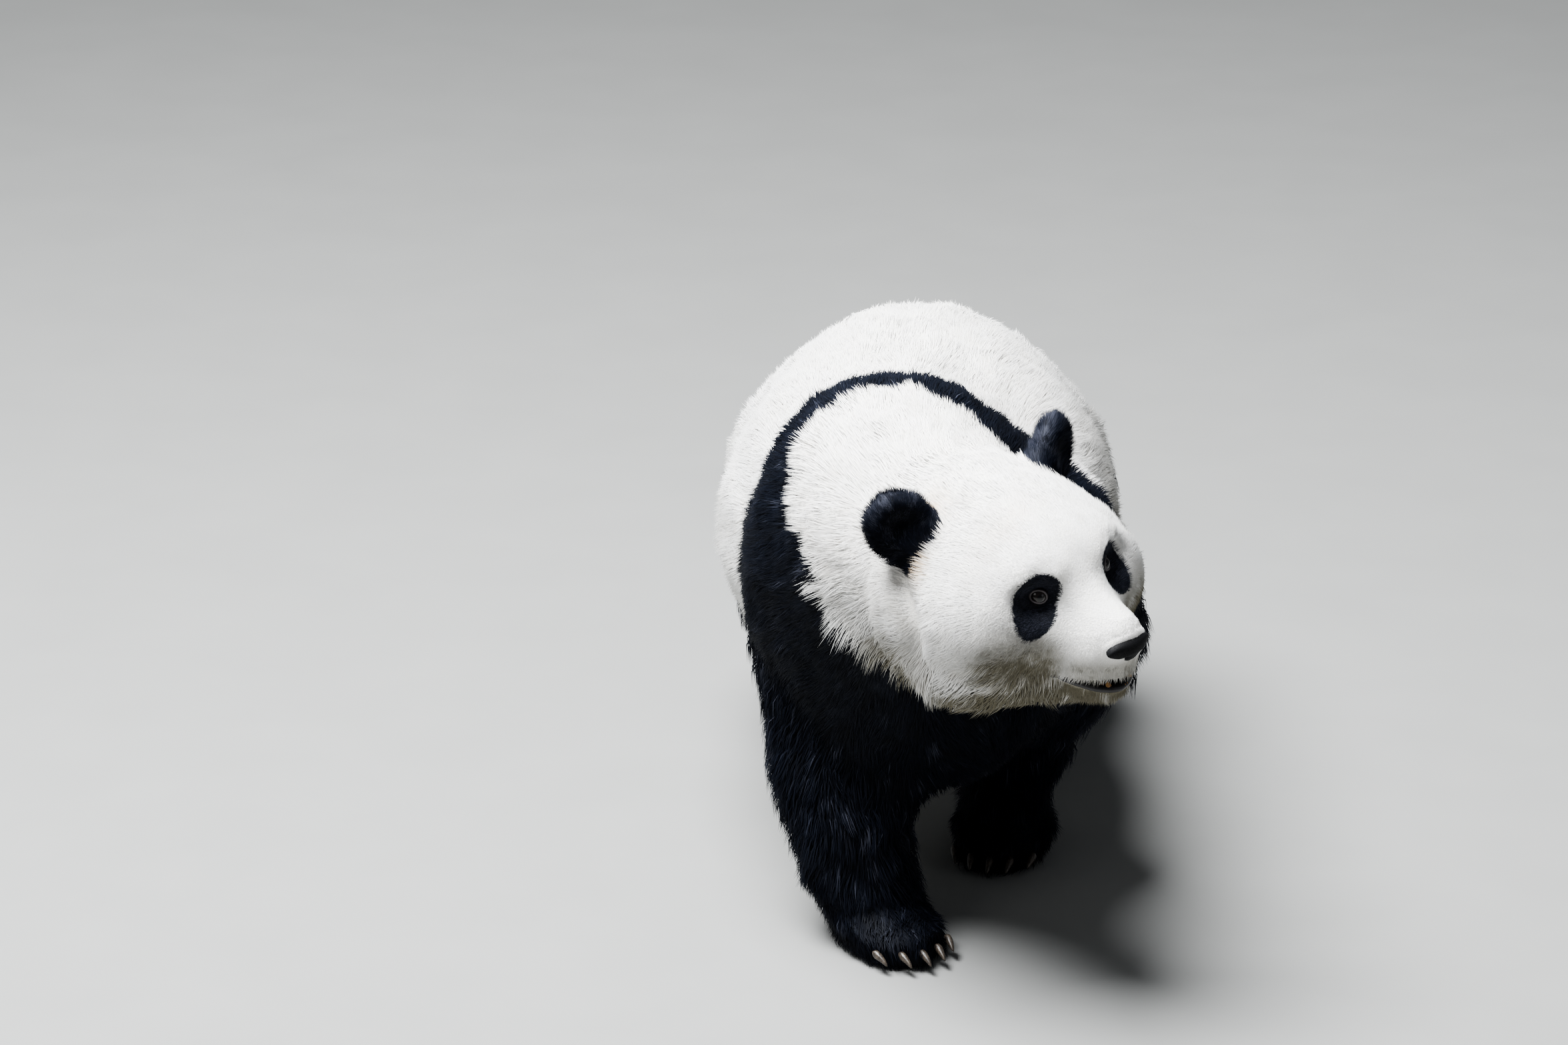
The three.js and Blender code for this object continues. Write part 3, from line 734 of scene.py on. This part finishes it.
ownTone = luck.normal(size=count)
leadTone = ownTone[nearest]
lightRoot = 0.5 * ease(0.026, 0.014, tuftLength)  # short hair shows less of the darker roots, which are partly the hair's own colour and partly painted shade
# the eye patches are paler, partly their own paler hairs and partly painted light; the ears are paler as
# painted light; the shoulders a little darker as painted shade against their sheen
paler = 0.58 * (eyePatch(reach) > 0) + 0.24 * among(rootPart, earNodes) - 0.1 * among(rootPart, ["shoulders"])
tone = 0.52 + paler + 0.12 * (ownTone + leadTone + drift(root, 0.03, 5)[:, 0])
# how strongly each tuft takes the stains and painted shade
stainAndShadeChange = 1.15 + 0.15 * drift(root, 0.02, 6)[:, 0] + 0.15 * leadTone + 0.1 * luck.normal(size=count)
tanChange = 0.9 + 0.3 * leadTone + 0.3 * luck.normal(size=count)
tuftValues = {
    "black": tuftBlack.astype(float),
    "tone": np.clip(tone, 0, 1.3),
    "stain_and_shade": stainAndShadeAt(root) * np.clip(stainAndShadeChange, 0.3, 1.5),
    "tan": tanAt(root) * np.clip(tanChange, 0.1, 1.3),
}


# materials
def newGroup(name, enters, leaves):  # a node group, with its way in and its way out
    group = bpy.data.node_groups.new(name, "ShaderNodeTree")
    for inOut, sockets in (("INPUT", enters), ("OUTPUT", leaves)):
        for label, kind in sockets.items():
            group.interface.new_socket(name=label, in_out=inOut, socket_type="NodeSocket" + kind)
    return group, group.nodes.new("NodeGroupInput").outputs, group.nodes.new("NodeGroupOutput").inputs


def node(tree, kind, **settings):
    made = tree.nodes.new(kind)
    for key, value in settings.items():
        if key in made.inputs:
            made.inputs[key].default_value = value
        else:
            setattr(made, key, value)
    return made


def mixColour(tree, factor, one, other, blend="MIX"):
    made = tree.nodes.new("ShaderNodeMix")
    made.data_type = "RGBA"
    made.blend_type = blend
    for slotIndex, value in ((0, factor), (6, one), (7, other)):
        if isinstance(value, bpy.types.NodeSocket):
            tree.links.new(value, made.inputs[slotIndex])
        else:
            made.inputs[slotIndex].default_value = value
    return made.outputs[2]


def ramp(tree, factor, stops):
    made = tree.nodes.new("ShaderNodeValToRGB")
    while len(made.color_ramp.elements) < len(stops):
        made.color_ramp.elements.new(0.5)
    for element, (place, colour) in zip(made.color_ramp.elements, stops):
        element.position = place
        element.color = (*colour, 1)
    tree.links.new(factor, made.inputs[0])
    return made.outputs[0]


coatColours = {
    "whiteLow": (0.76, 0.745, 0.71),
    "whiteHigh": (0.93, 0.925, 0.91),
    # the roots' grey-brown is partly their own colour and partly painted shade
    "whiteRoot": (0.62, 0.57, 0.5),
    # the grey-brown of stains and of painted shade under the jaw, in the fold and low on the body
    "stain_and_shade": (0.145, 0.132, 0.095),
    # the black's blue tint is painted sheen
    "blackLow": (0.0011, 0.0015, 0.003),
    "blackHigh": (0.004, 0.0056, 0.0115),
    "blackTip": (0.007, 0.0095, 0.0185),
    # the palest black, on the eye patches and ears: partly paler hairs, partly painted light
    "blackPale": (0.045, 0.048, 0.064),
    "tan": (0.6, 0.44, 0.27),
}


def makeCoatTones():
    enters = dict.fromkeys(("Black", "Along", "Tone", "Stain_and_shade", "Tan"), "Float")
    group, enter, leave = newGroup("coatTones", enters, {"Color": "Color", "Roughness": "Float"})
    c = coatColours
    toneStops = [(0.0, c["whiteLow"]), (0.75, c["whiteHigh"]), (1.0, c["whiteHigh"])]
    white = ramp(group, enter["Tone"], toneStops)
    # darker grey-brown towards the roots: partly the hair's own colour, partly painted shade deep in the coat
    depth = ramp(group, enter["Along"], [(0.0, (0.75,) * 3), (0.45, (0.12,) * 3), (1.0, (0,) * 3)])
    white = mixColour(group, depth, white, (*c["whiteRoot"], 1))
    white = mixColour(group, enter["Tan"], white, (*c["tan"], 1))
    # stains and painted shade darken the white
    white = mixColour(group, enter["Stain_and_shade"], white, (*c["stain_and_shade"], 1))
    toneStops = [(0.15, c["blackLow"]), (0.75, c["blackHigh"]), (1.0, c["blackPale"])]
    black = ramp(group, enter["Tone"], toneStops)
    # paler, bluish tips of the black hair: painted sheen
    tips = ramp(group, enter["Along"], [(0.3, (0,) * 3), (1.0, (0.45,) * 3)])
    black = mixColour(group, tips, black, (*c["blackTip"], 1))
    group.links.new(mixColour(group, enter["Black"], white, black), leave["Color"])
    rough = node(group, "ShaderNodeMapRange", **{"To Min": 0.85, "To Max": 0.66})
    group.links.new(enter["Black"], rough.inputs["Value"])
    group.links.new(rough.outputs[0], leave["Roughness"])
    return group


def makeFineGrain():  # mottling of horn, skin and paint: a colour between two, and a height
    enters = {"Place": "Vector", **dict.fromkeys(("Scale", "Detail", "Start", "End"), "Float")}
    enters.update(Low="Color", High="Color")
    group, enter, leave = newGroup("fineGrain", enters, {"Color": "Color", "Height": "Float"})
    grain, share = group.nodes.new("ShaderNodeTexNoise"), group.nodes.new("ShaderNodeMapRange")
    links = [("Place", grain, "Vector"), ("Scale", grain, "Scale"), ("Detail", grain, "Detail")]
    for name, target, key in links + [("Start", share, "From Min"), ("End", share, "From Max")]:
        group.links.new(enter[name], target.inputs[key])
    group.links.new(grain.outputs[0], share.inputs["Value"])
    colour = mixColour(group, share.outputs[0], enter["Low"], enter["High"])
    group.links.new(colour, leave["Color"])
    group.links.new(grain.outputs[0], leave["Height"])
    return group


coatTones, fineGrain = makeCoatTones(), makeFineGrain()


def newMaterial(name, **constants):
    material = bpy.data.materials.new(name)
    material.use_nodes = True
    tree = material.node_tree
    shader = tree.nodes["Principled BSDF"]
    for key, value in constants.items():
        shader.inputs[key.replace("_", " ")].default_value = value
    return material, tree, shader


def attribute(tree, name):
    made = tree.nodes.new("ShaderNodeAttribute")
    made.attribute_name = name
    return made.outputs["Fac"]


def grained(tree, scale, detail, stops=((0.3, (0, 0, 0)), (0.7, (1, 1, 1)))):
    made = tree.nodes.new("ShaderNodeGroup")
    made.node_tree = fineGrain
    place = tree.nodes.new("ShaderNodeTexCoord")
    tree.links.new(place.outputs["Object"], made.inputs["Place"])
    (start, low), (end, high) = stops
    values = {"Scale": scale, "Detail": detail, "Start": start, "End": end}
    values.update(Low=(*low, 1), High=(*high, 1))
    for name, value in values.items():
        made.inputs[name].default_value = value
    return made.outputs["Color"], made.outputs["Height"]


def bumped(tree, shader, height, strength, distance):
    bump = node(tree, "ShaderNodeBump", Strength=strength, Distance=distance)
    tree.links.new(height, bump.inputs["Height"])
    tree.links.new(bump.outputs[0], shader.inputs["Normal"])
    return bump


def grainMaterial(name, scale, detail, stops, bump=None, **constants):
    material, tree, shader = newMaterial(name, **constants)
    colour, height = grained(tree, scale, detail, stops)
    tree.links.new(colour, shader.inputs["Base Color"])
    if bump:
        bumped(tree, shader, height, *bump)
    return material


def toned(tree, shader, names):  # the coat's colours from the mesh's own values
    tones = tree.nodes.new("ShaderNodeGroup")
    tones.node_tree = coatTones
    for name in names:
        tree.links.new(attribute(tree, name), tones.inputs[name.capitalize()])
    tree.links.new(tones.outputs["Color"], shader.inputs["Base Color"])
    tree.links.new(tones.outputs["Roughness"], shader.inputs["Roughness"])
    return tones


def makeCoatMaterial():
    material, tree, shader = newMaterial("pandaCoat", Specular_IOR_Level=0.13)
    toned(tree, shader, ("black", "along", "tone", "stain_and_shade", "tan"))
    return material


def makeSkinMaterial():
    material, tree, shader = newMaterial("pandaSkin", Specular_IOR_Level=0.2)
    tones = toned(tree, shader, ("black", "stain_and_shade", "tan"))
    # the skin takes some of the roots' darker colour and painted shade
    tones.inputs["Along"].default_value = 0.35
    strands = grained(tree, 420.0, 4.0)[1]
    tree.links.new(strands, tones.inputs["Tone"])
    bumped(tree, shader, strands, 0.7, 0.0015)
    return material


coatMaterial = makeCoatMaterial()
skinMesh.materials.append(makeSkinMaterial())
skinReach = strayed(spots + lie * (hairLength * 0.5)[:, None] + normals * coatDepth[:, None], part)
inMouth = (mouthGape(skinPlaces) > 0.02) | onLip
putValues(skinMesh, "black", np.maximum(blackAt(skinReach, partAt(skinReach)), inMouth))
# stains and painted shade on the skin, as on the coat
putValues(skinMesh, "stain_and_shade", stainAndShadeAt(spots))
putValues(skinMesh, "tan", tanAt(spots))
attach(skin, "root")
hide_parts(*fleshNodes)

coatPieces = {
    "face": ["face", "lower_jaw"],
    "head": ["head"],
    "ears": earNodes,
    "neck": ["neck"],
    "shoulders": ["shoulders"],
    "barrel": ["barrel"],
    "rump": ["rump", "tail"],
    "forelegs": legNodes[:2] + pawNodes[:2],
    "hindlegs": legNodes[2:] + pawNodes[2:],
}
totalTriangles = 0
bentLuck = luck.random(count)
onBarrel = among(rootPart, ["barrel"])
for name, nodes in coatPieces.items():
    chosen = among(rootPart, nodes)
    mostly = coatLook["mostlyBentOnHead" if name in ("head", "face", "neck") else "mostlyBent"]
    bends = (tuftLength > mostly) | (bentLuck < coatLook["bentShare"])
    bends &= (tuftLength > coatLook["bent"]) & ~onBarrel
    for ending, group, bent in (("short", chosen & ~bends, False), ("long", chosen & bends, True)):
        index = np.flatnonzero(group)
        if len(index) < 4:
            continue
        pieces = math.ceil(len(index) / (coatLook["pieceFaces"] // (10 if bent else 4)))
        order = index[np.argsort(root[index, 0], kind="stable")]
        for k, portion in enumerate(np.array_split(order, pieces)):
            totalTriangles += buildCoat(f"coat_{name}_{ending}_{k + 1}", np.sort(portion), bent)
print("coat triangles", totalTriangles)

# eyes
eyeColours = {
    "pupil": (0.002, 0.002, 0.002),
    "iris": (0.022, 0.013, 0.009),
    "irisEdge": (0.01, 0.006, 0.004),
    "white": (0.07, 0.05, 0.045),
}


def makeEyeMaterial():
    material, tree, shader = newMaterial(
        "wetEye", Coat_Weight=0.55, Coat_Roughness=0.03, Roughness=0.2, Specular_IOR_Level=0.25
    )
    c = eyeColours
    stops = [(0.0, c["pupil"]), (0.3, c["pupil"]), (0.34, c["iris"]), (0.66, c["iris"])]
    rings = ramp(tree, attribute(tree, "ring"), stops + [(0.74, c["irisEdge"]), (0.84, c["white"])])
    streaked = mixColour(tree, grained(tree, 900.0, 3.0)[1], rings, (0.0, 0.0, 0.0, 1), "SOFT_LIGHT")
    tree.links.new(streaked, shader.inputs["Base Color"])
    return material


def makeEye(side, material):
    centre = eyeSpots[side]
    ball = bmesh.new()
    bmesh.ops.create_uvsphere(ball, u_segments=40, v_segments=28, radius=eyeLook["radius"])
    gaze = unit(mirrored(eyeLook["gaze"], side))
    turn = Vector((0, 0, 1)).rotation_difference(Vector(gaze)).to_matrix()
    bmesh.ops.rotate(ball, verts=ball.verts, matrix=turn)
    rings = []
    for vert in ball.verts:
        angle = vert.co.angle(Vector(gaze))
        rings.append(angle / 1.25)
        vert.co *= 1 + 0.05 * float(ease(0.75, 0.2, angle))  # the clear front bulges
        vert.co = Vector(fromHead(centre + np.array(vert.co)))
    ball.normal_update()
    label = "left" if side > 0 else "right"
    mesh = meshFrom(ball, "eyeball_" + label)
    putValues(mesh, "ring", rings)
    finished("eyeball_" + label, mesh, material, ["eye_" + label])


lidLook = {
    "rings": [  # how far from the eye's surface, and how wide against the opening
        (-0.001, 0.96), (0.0002, 0.96), (0.0011, 1.02), (0.0016, 1.12), (0.0014, 1.26),
        (0.0008, 1.46), (0.0005, 1.75), (-0.0012, 2.1), (-0.0035, 2.4),
    ],
    "steps": 40,
    "rim": (0.115, 0.1, 0.105),
    "outer": (0.008, 0.008, 0.01),
}


def makeLidMaterial():
    material, tree, shader = newMaterial("lidSkin", Roughness=0.42)
    rim, outer = lidLook["rim"], lidLook["outer"]
    stops = [(0.0, outer), (0.22, outer), (0.42, rim), (0.75, rim), (0.95, outer)]
    colours = ramp(tree, attribute(tree, "rim"), stops)
    grain = grained(tree, 900.0, 5.0)[1]
    mottled = mixColour(tree, grain, colours, (0.02, 0.016, 0.016, 1), "SOFT_LIGHT")
    tree.links.new(mottled, shader.inputs["Base Color"])
    bumped(tree, shader, grain, 0.5, 0.0004)
    return material


def makeLids(side, material):
    centre, radius = eyeSpots[side], eyeLook["radius"]
    out = unit(mirrored(eyeLook["opening"], side))
    flat = unit(np.cross([0.0, 0.0, 1.0], out))
    slant = math.radians(eyeLook["slant"]) * side
    across = math.cos(slant) * flat + math.sin(slant) * np.cross(out, flat)
    up = math.cos(slant) * np.cross(out, flat) - math.sin(slant) * flat

    def place(turn, lift, wide):
        high = eyeLook["upper"] if math.sin(turn) > 0 else eyeLook["lower"]
        x = eyeLook["halfWidth"] * math.cos(turn) * wide
        z = high * math.sin(turn) * wide + math.sin(turn) * 0.0022 * max(wide - 1.1, 0)
        angle = math.hypot(x, z) / radius
        way = unit(across * x + up * z)
        return centre + (out * math.cos(angle) + way * math.sin(angle)) * (radius + lift)

    lids = bmesh.new()
    loop = list(bmesh.ops.create_circle(lids, segments=lidLook["steps"], radius=1.0, cap_ends=False)["verts"])
    turns = [math.atan2(vert.co.y, vert.co.x) for vert in loop]
    rims = []
    for k, (lift, wide) in enumerate(lidLook["rings"]):
        if k:
            old = set(loop)
            edges = [edge for edge in lids.edges if old.issuperset(edge.verts)]
            grown = bmesh.ops.extrude_edge_only(lids, edges=edges)["geom"]
            grown = [vert for vert in grown if isinstance(vert, bmesh.types.BMVert)]
            pairs = {edge.other_vert(vert): vert for vert in grown for edge in vert.link_edges}
            loop = [pairs[vert] for vert in loop]
        for vert, turn in zip(loop, turns):
            vert.co = Vector(fromHead(place(turn, lift, wide)))
            rims.append((vert, max(1.0 - k / 5.0, 0)))
    bmesh.ops.recalc_face_normals(lids, faces=lids.faces)
    outward = Vector(headAxes @ out)
    if sum(face.normal.dot(outward) for face in lids.faces) < 0:
        bmesh.ops.reverse_faces(lids, faces=lids.faces)
    lids.verts.index_update()
    values = np.zeros(len(lids.verts))
    for vert, value in rims:
        values[vert.index] = value
    name = "lids_left" if side > 0 else "lids_right"
    mesh = meshFrom(lids, name)
    putValues(mesh, "rim", values)
    finished(name, mesh, material, rounds=1)


eyeMaterial, lidMaterial = makeEyeMaterial(), makeLidMaterial()
for side in (-1, 1):
    makeEye(side, eyeMaterial)
    makeLids(side, lidMaterial)
print("eyes and lids made")

# nose pad
def makeNoseMaterial():
    material, tree, shader = newMaterial("nosePad", Roughness=0.6, Specular_IOR_Level=0.16)
    place = tree.nodes.new("ShaderNodeTexCoord")
    pebbles = node(tree, "ShaderNodeTexVoronoi", Scale=800.0)
    pebbles.feature = "F1"
    tree.links.new(place.outputs["Object"], pebbles.inputs["Vector"])
    bumped(tree, shader, pebbles.outputs["Distance"], 0.3, 0.0004).invert = True
    for key, stops in (
        ("Base Color", [(0.0, noseLook["between"]), (0.7, noseLook["colour"])]),
        ("Roughness", [(0.0, (0.52,) * 3), (0.8, (0.72,) * 3)]),
    ):
        tree.links.new(ramp(tree, pebbles.outputs["Distance"], stops), shader.inputs[key])
    return material


def makeNose():
    pad = bmesh.new()
    bmesh.ops.create_icosphere(pad, subdivisions=6, radius=1.0)
    gx, gy = noseLook["nostril"]
    u, v, w = np.array([vert.co for vert in pad.verts]).T
    # a shield: squarer than a ball, wide above, its face flattened
    power = noseLook["squareness"]
    swell = (np.abs(u) ** power + np.abs(v) ** power + np.abs(w) ** power) ** (-1 / power)
    u, v, w = u * swell, v * swell, w * swell
    x, y, z = (value * radius for value, radius in zip((u, v, w), noseLook["radii"]))
    x = x * (1 - noseLook["narrowing"] * np.clip(v + 0.1, 0, 1))
    face = w < 0
    z = np.where(face, z * (1.05 - 0.6 * np.abs(u) ** 1.5), z)
    away = np.abs(x) - gx  # from the nostril's middle
    down = y - gy - away * 0.55
    tail = hump(down, 0.0015, 0.0016) * ease(0, 0.004, away) * ease(0.03 - gx, 0.022 - gx, away)
    hole = hump(away, 0, 0.004) * hump(down, 0, 0.0034) * 1.2
    z += face * noseLook["nostrilDeep"] * np.minimum(hole + 0.25 * tail, 1)
    z += face * noseLook["grooveDeep"] * hump(x, 0, 0.001) * ease(-0.006, 0.002, y)
    z -= face * 0.001 * hump(away, 0, 0.008) * hump(y, gy - 0.0075, 0.004)
    local = np.stack([x, padCos * y - padSin * z, padSin * y + padCos * z], 1) + noseLook["centre"]
    for vert, place in zip(pad.verts, fromHead(local)):
        vert.co = Vector(place)
    pad.normal_update()
    finished("nose_pad", meshFrom(pad, "nose_pad"), makeNoseMaterial(), ["nose"])


makeNose()
print("nose made")

# lips, teeth
skinTree = BVHTree.FromPolygons(spots.tolist(), [list(t) for t in triVerts.tolist()])
lipLook = {
    "lower": {"edge": 1, "rise": -0.0036, "thick": 0.0044, "sink": 0.0016},
    "upper": {"edge": 0, "rise": 0.0006, "thick": 0.002, "sink": 0.003},
}


def lipPath(edge, rise, sink, steps=49):
    path = []
    for k in range(steps):
        turn = math.radians(-98 + 196 * k / (steps - 1))
        way = np.array([math.sin(turn), -math.cos(turn), 0.0])
        start = np.array([0.0, -0.112, 0.0])
        place = None
        for _ in range(3):
            y = (place if place is not None else start + way * 0.05)[1]
            start[2] = way[2] = 0
            x = place[0] if place is not None else 0.05 * way[0]
            height = float(mouthEdges(np.array([x]), np.array([y]))[edge][0]) + rise
            origin = start + way * 0.12 + np.array([0, 0, height])
            hit = skinTree.ray_cast(Vector(fromHead(origin)), Vector(headAxes @ -way), 0.13)
            if hit[0] is None:
                break
            place = toHead(np.array(hit[0]))
        if place is not None:
            path.append(place - way * sink)
    return path


def makeLip(name, look, material):
    path = lipPath(look["edge"], look["rise"], look["sink"])
    curve = bpy.data.curves.new(name + "Curve", "CURVE")
    curve.dimensions = "3D"
    curve.bevel_depth = look["thick"]
    curve.bevel_resolution = 4
    curve.use_fill_caps = True
    spline = curve.splines.new("POLY")
    spline.points.add(len(path) - 1)
    for k, (point, place) in enumerate(zip(spline.points, path)):
        point.co = (*fromHead(place), 1)
        edge = min(k, len(path) - 1 - k) / (len(path) / 2)
        point.radius = 0.62 + 0.38 * float(ease(0.0, 0.25, edge))
    finished(name, applied(linked(name, curve)), material)


lipColours = [(0.3, (0.006, 0.006, 0.007)), (0.7, (0.022, 0.018, 0.019))]
lipGloss = {"Roughness": 0.35, "Specular_IOR_Level": 0.45}
lipMaterial = grainMaterial("lipSkin", 700.0, 6.0, lipColours, (0.5, 0.0006), **lipGloss)
for name in ("upper", "lower"):
    makeLip("lip_" + name, lipLook[name], lipMaterial)

toothLook = {  # half the thickness and the height of each kind
    "canine": (0.005, 0.0115),
    "next": (0.0045, 0.0085),
    "incisor": (0.0018, 0.0026),
    "incisors": 6,
    "rows": [(0.0, 0.92), (0.3, 1.0), (0.62, 0.72), (0.85, 0.4)],  # how high, and how thick there
    "colours": [(0.3, (0.13, 0.055, 0.015)), (0.65, (0.34, 0.18, 0.06))],
}


def addTooth(shape, foot, look, lean, sides):  # a pointed tooth standing on its foot, in the head's axes
    thick, tall = look
    turns = np.arange(sides) * 2 * math.pi / sides
    rings = []
    for rise, wide in toothLook["rows"]:
        middle = np.array(foot) + np.array(lean) * rise**2 + np.array([0, 0, tall * rise])
        circle = [thick * wide * np.array([math.cos(turn), 0.85 * math.sin(turn), 0]) for turn in turns]
        rings.append([shape.verts.new(fromHead(middle + away)) for away in circle])
    tip = shape.verts.new(fromHead(np.array(foot) + np.array(lean) + np.array([0, 0, tall])))
    for low, high in zip(rings[:-1], rings[1:]):
        for k in range(sides):
            shape.faces.new((low[k], low[(k + 1) % sides], high[(k + 1) % sides], high[k]))
    for k in range(sides):
        shape.faces.new((rings[-1][k], rings[-1][(k + 1) % sides], tip))
    shape.faces.new(rings[0][::-1])


def makeTeeth():
    shape = bmesh.new()
    for side, node in ((-1, "tooth_right"), (1, "tooth_left")):
        x, y, z = toHead(middleOf(node))
        addTooth(shape, (x, y, z - 0.0068), toothLook["canine"], (side * 0.001, 0.0008, 0), 12)
        behind = (x + side * 0.0022, y + 0.0092, z - 0.004)
        addTooth(shape, behind, toothLook["next"], (side * 0.0004, 0, 0), 12)
    count = toothLook["incisors"]
    for k in range(count):
        across = (k - (count - 1) / 2) / count
        spot = (across * 0.024, y - 0.006 - 0.003 * math.cos(across * 3), z - 0.0058)
        addTooth(shape, spot, toothLook["incisor"], (0, 0, 0), 8)
    bmesh.ops.recalc_face_normals(shape, faces=shape.faces)
    enamel = grainMaterial("toothEnamel", 260.0, 3.0, toothLook["colours"], Roughness=0.25, Coat_Weight=0.4)
    finished("teeth", meshFrom(shape, "teeth"), enamel, ["tooth_left", "tooth_right"], 2)


makeTeeth()
clawColours = [(0.3, (0.018, 0.014, 0.012)), (0.7, (0.085, 0.068, 0.052))]
clawHorn = grainMaterial("clawHorn", 300.0, 5.0, clawColours, (0.4, 0.0006), Roughness=0.4)
for paw in pawNodes:
    claws = [f"{paw}_claw_{k}" for k in range(1, 6)]
    finished("claws_" + paw, joinedMesh("claws_" + paw, claws), clawHorn, claws, 2)
print("lips, teeth and claws made")

# floor, light and camera
studioLook = {
    "cameraTurn": 5.0,
    "cameraHeight": 20.0,  # degrees above level
    "lens": 150.0,
    "sensor": 36.0,
    "fromHead": (0.365, -7.312, 2.73),  # the camera's place
    "floor": 12.0,
    "floorColour": (0.27, 0.27, 0.262),
    "world": (0.72, 0.76, 0.82),
    "worldStrength": 0.2,
    "lights": {  # place, aim, width, watts, colour
        "sky": ((-1.15, -0.75, 4.5), (0, 0, 0.4), 3.0, 1020, (0.96, 0.98, 1.0)),
        "front": ((-3.0, -4.6, 3.6), (0, -0.2, 0.5), 2.4, 25, (1.0, 0.985, 0.96)),
        "fill": ((4.2, -2.4, 1.8), (0, 0, 0.5), 2.6, 12, (0.95, 0.97, 1.0)),
    },
}


def makeFloor():
    flat = bmesh.new()
    bmesh.ops.create_grid(flat, x_segments=2, y_segments=2, size=studioLook["floor"])
    mesh = meshFrom(flat, "floor")
    colour = studioLook["floorColour"]
    stops = [(0.3, colour), (0.7, tuple(v * 1.04 for v in colour))]
    mesh.materials.append(grainMaterial("floorPaint", 6.0, 2.0, stops, Roughness=0.9))
    linked("floor", mesh)


def makeLight(name, place, aim, size, power, colour):
    data = bpy.data.lights.new(name, "AREA")
    data.shape = "DISK"
    data.size = size
    data.energy = power
    data.color = colour
    lamp = linked(name, data)
    lamp.location = place
    lamp.rotation_euler = (Vector(aim) - Vector(place)).to_track_quat("-Z", "Y").to_euler()


def makeCamera():
    data = bpy.data.cameras.new("camera")
    data.lens = studioLook["lens"]
    data.sensor_width = studioLook["sensor"]
    data.clip_end = 60
    camera = linked("camera", data)
    camera.location = Vector(headOrigin) + Vector(studioLook["fromHead"])
    tilt, turn = 90 - studioLook["cameraHeight"], studioLook["cameraTurn"]
    camera.rotation_euler = (math.radians(tilt), 0, math.radians(turn))
    bpy.context.scene.camera = camera


makeFloor()
for name, values in studioLook["lights"].items():
    makeLight(name, *values)
world = bpy.data.worlds.new("studio")
world.use_nodes = True
background = world.node_tree.nodes["Background"].inputs
background[0].default_value = (*studioLook["world"], 1)
background[1].default_value = studioLook["worldStrength"]
bpy.context.scene.world = world
bpy.context.scene.view_settings.look = "AgX - Medium High Contrast"
makeCamera()
print("studio set")
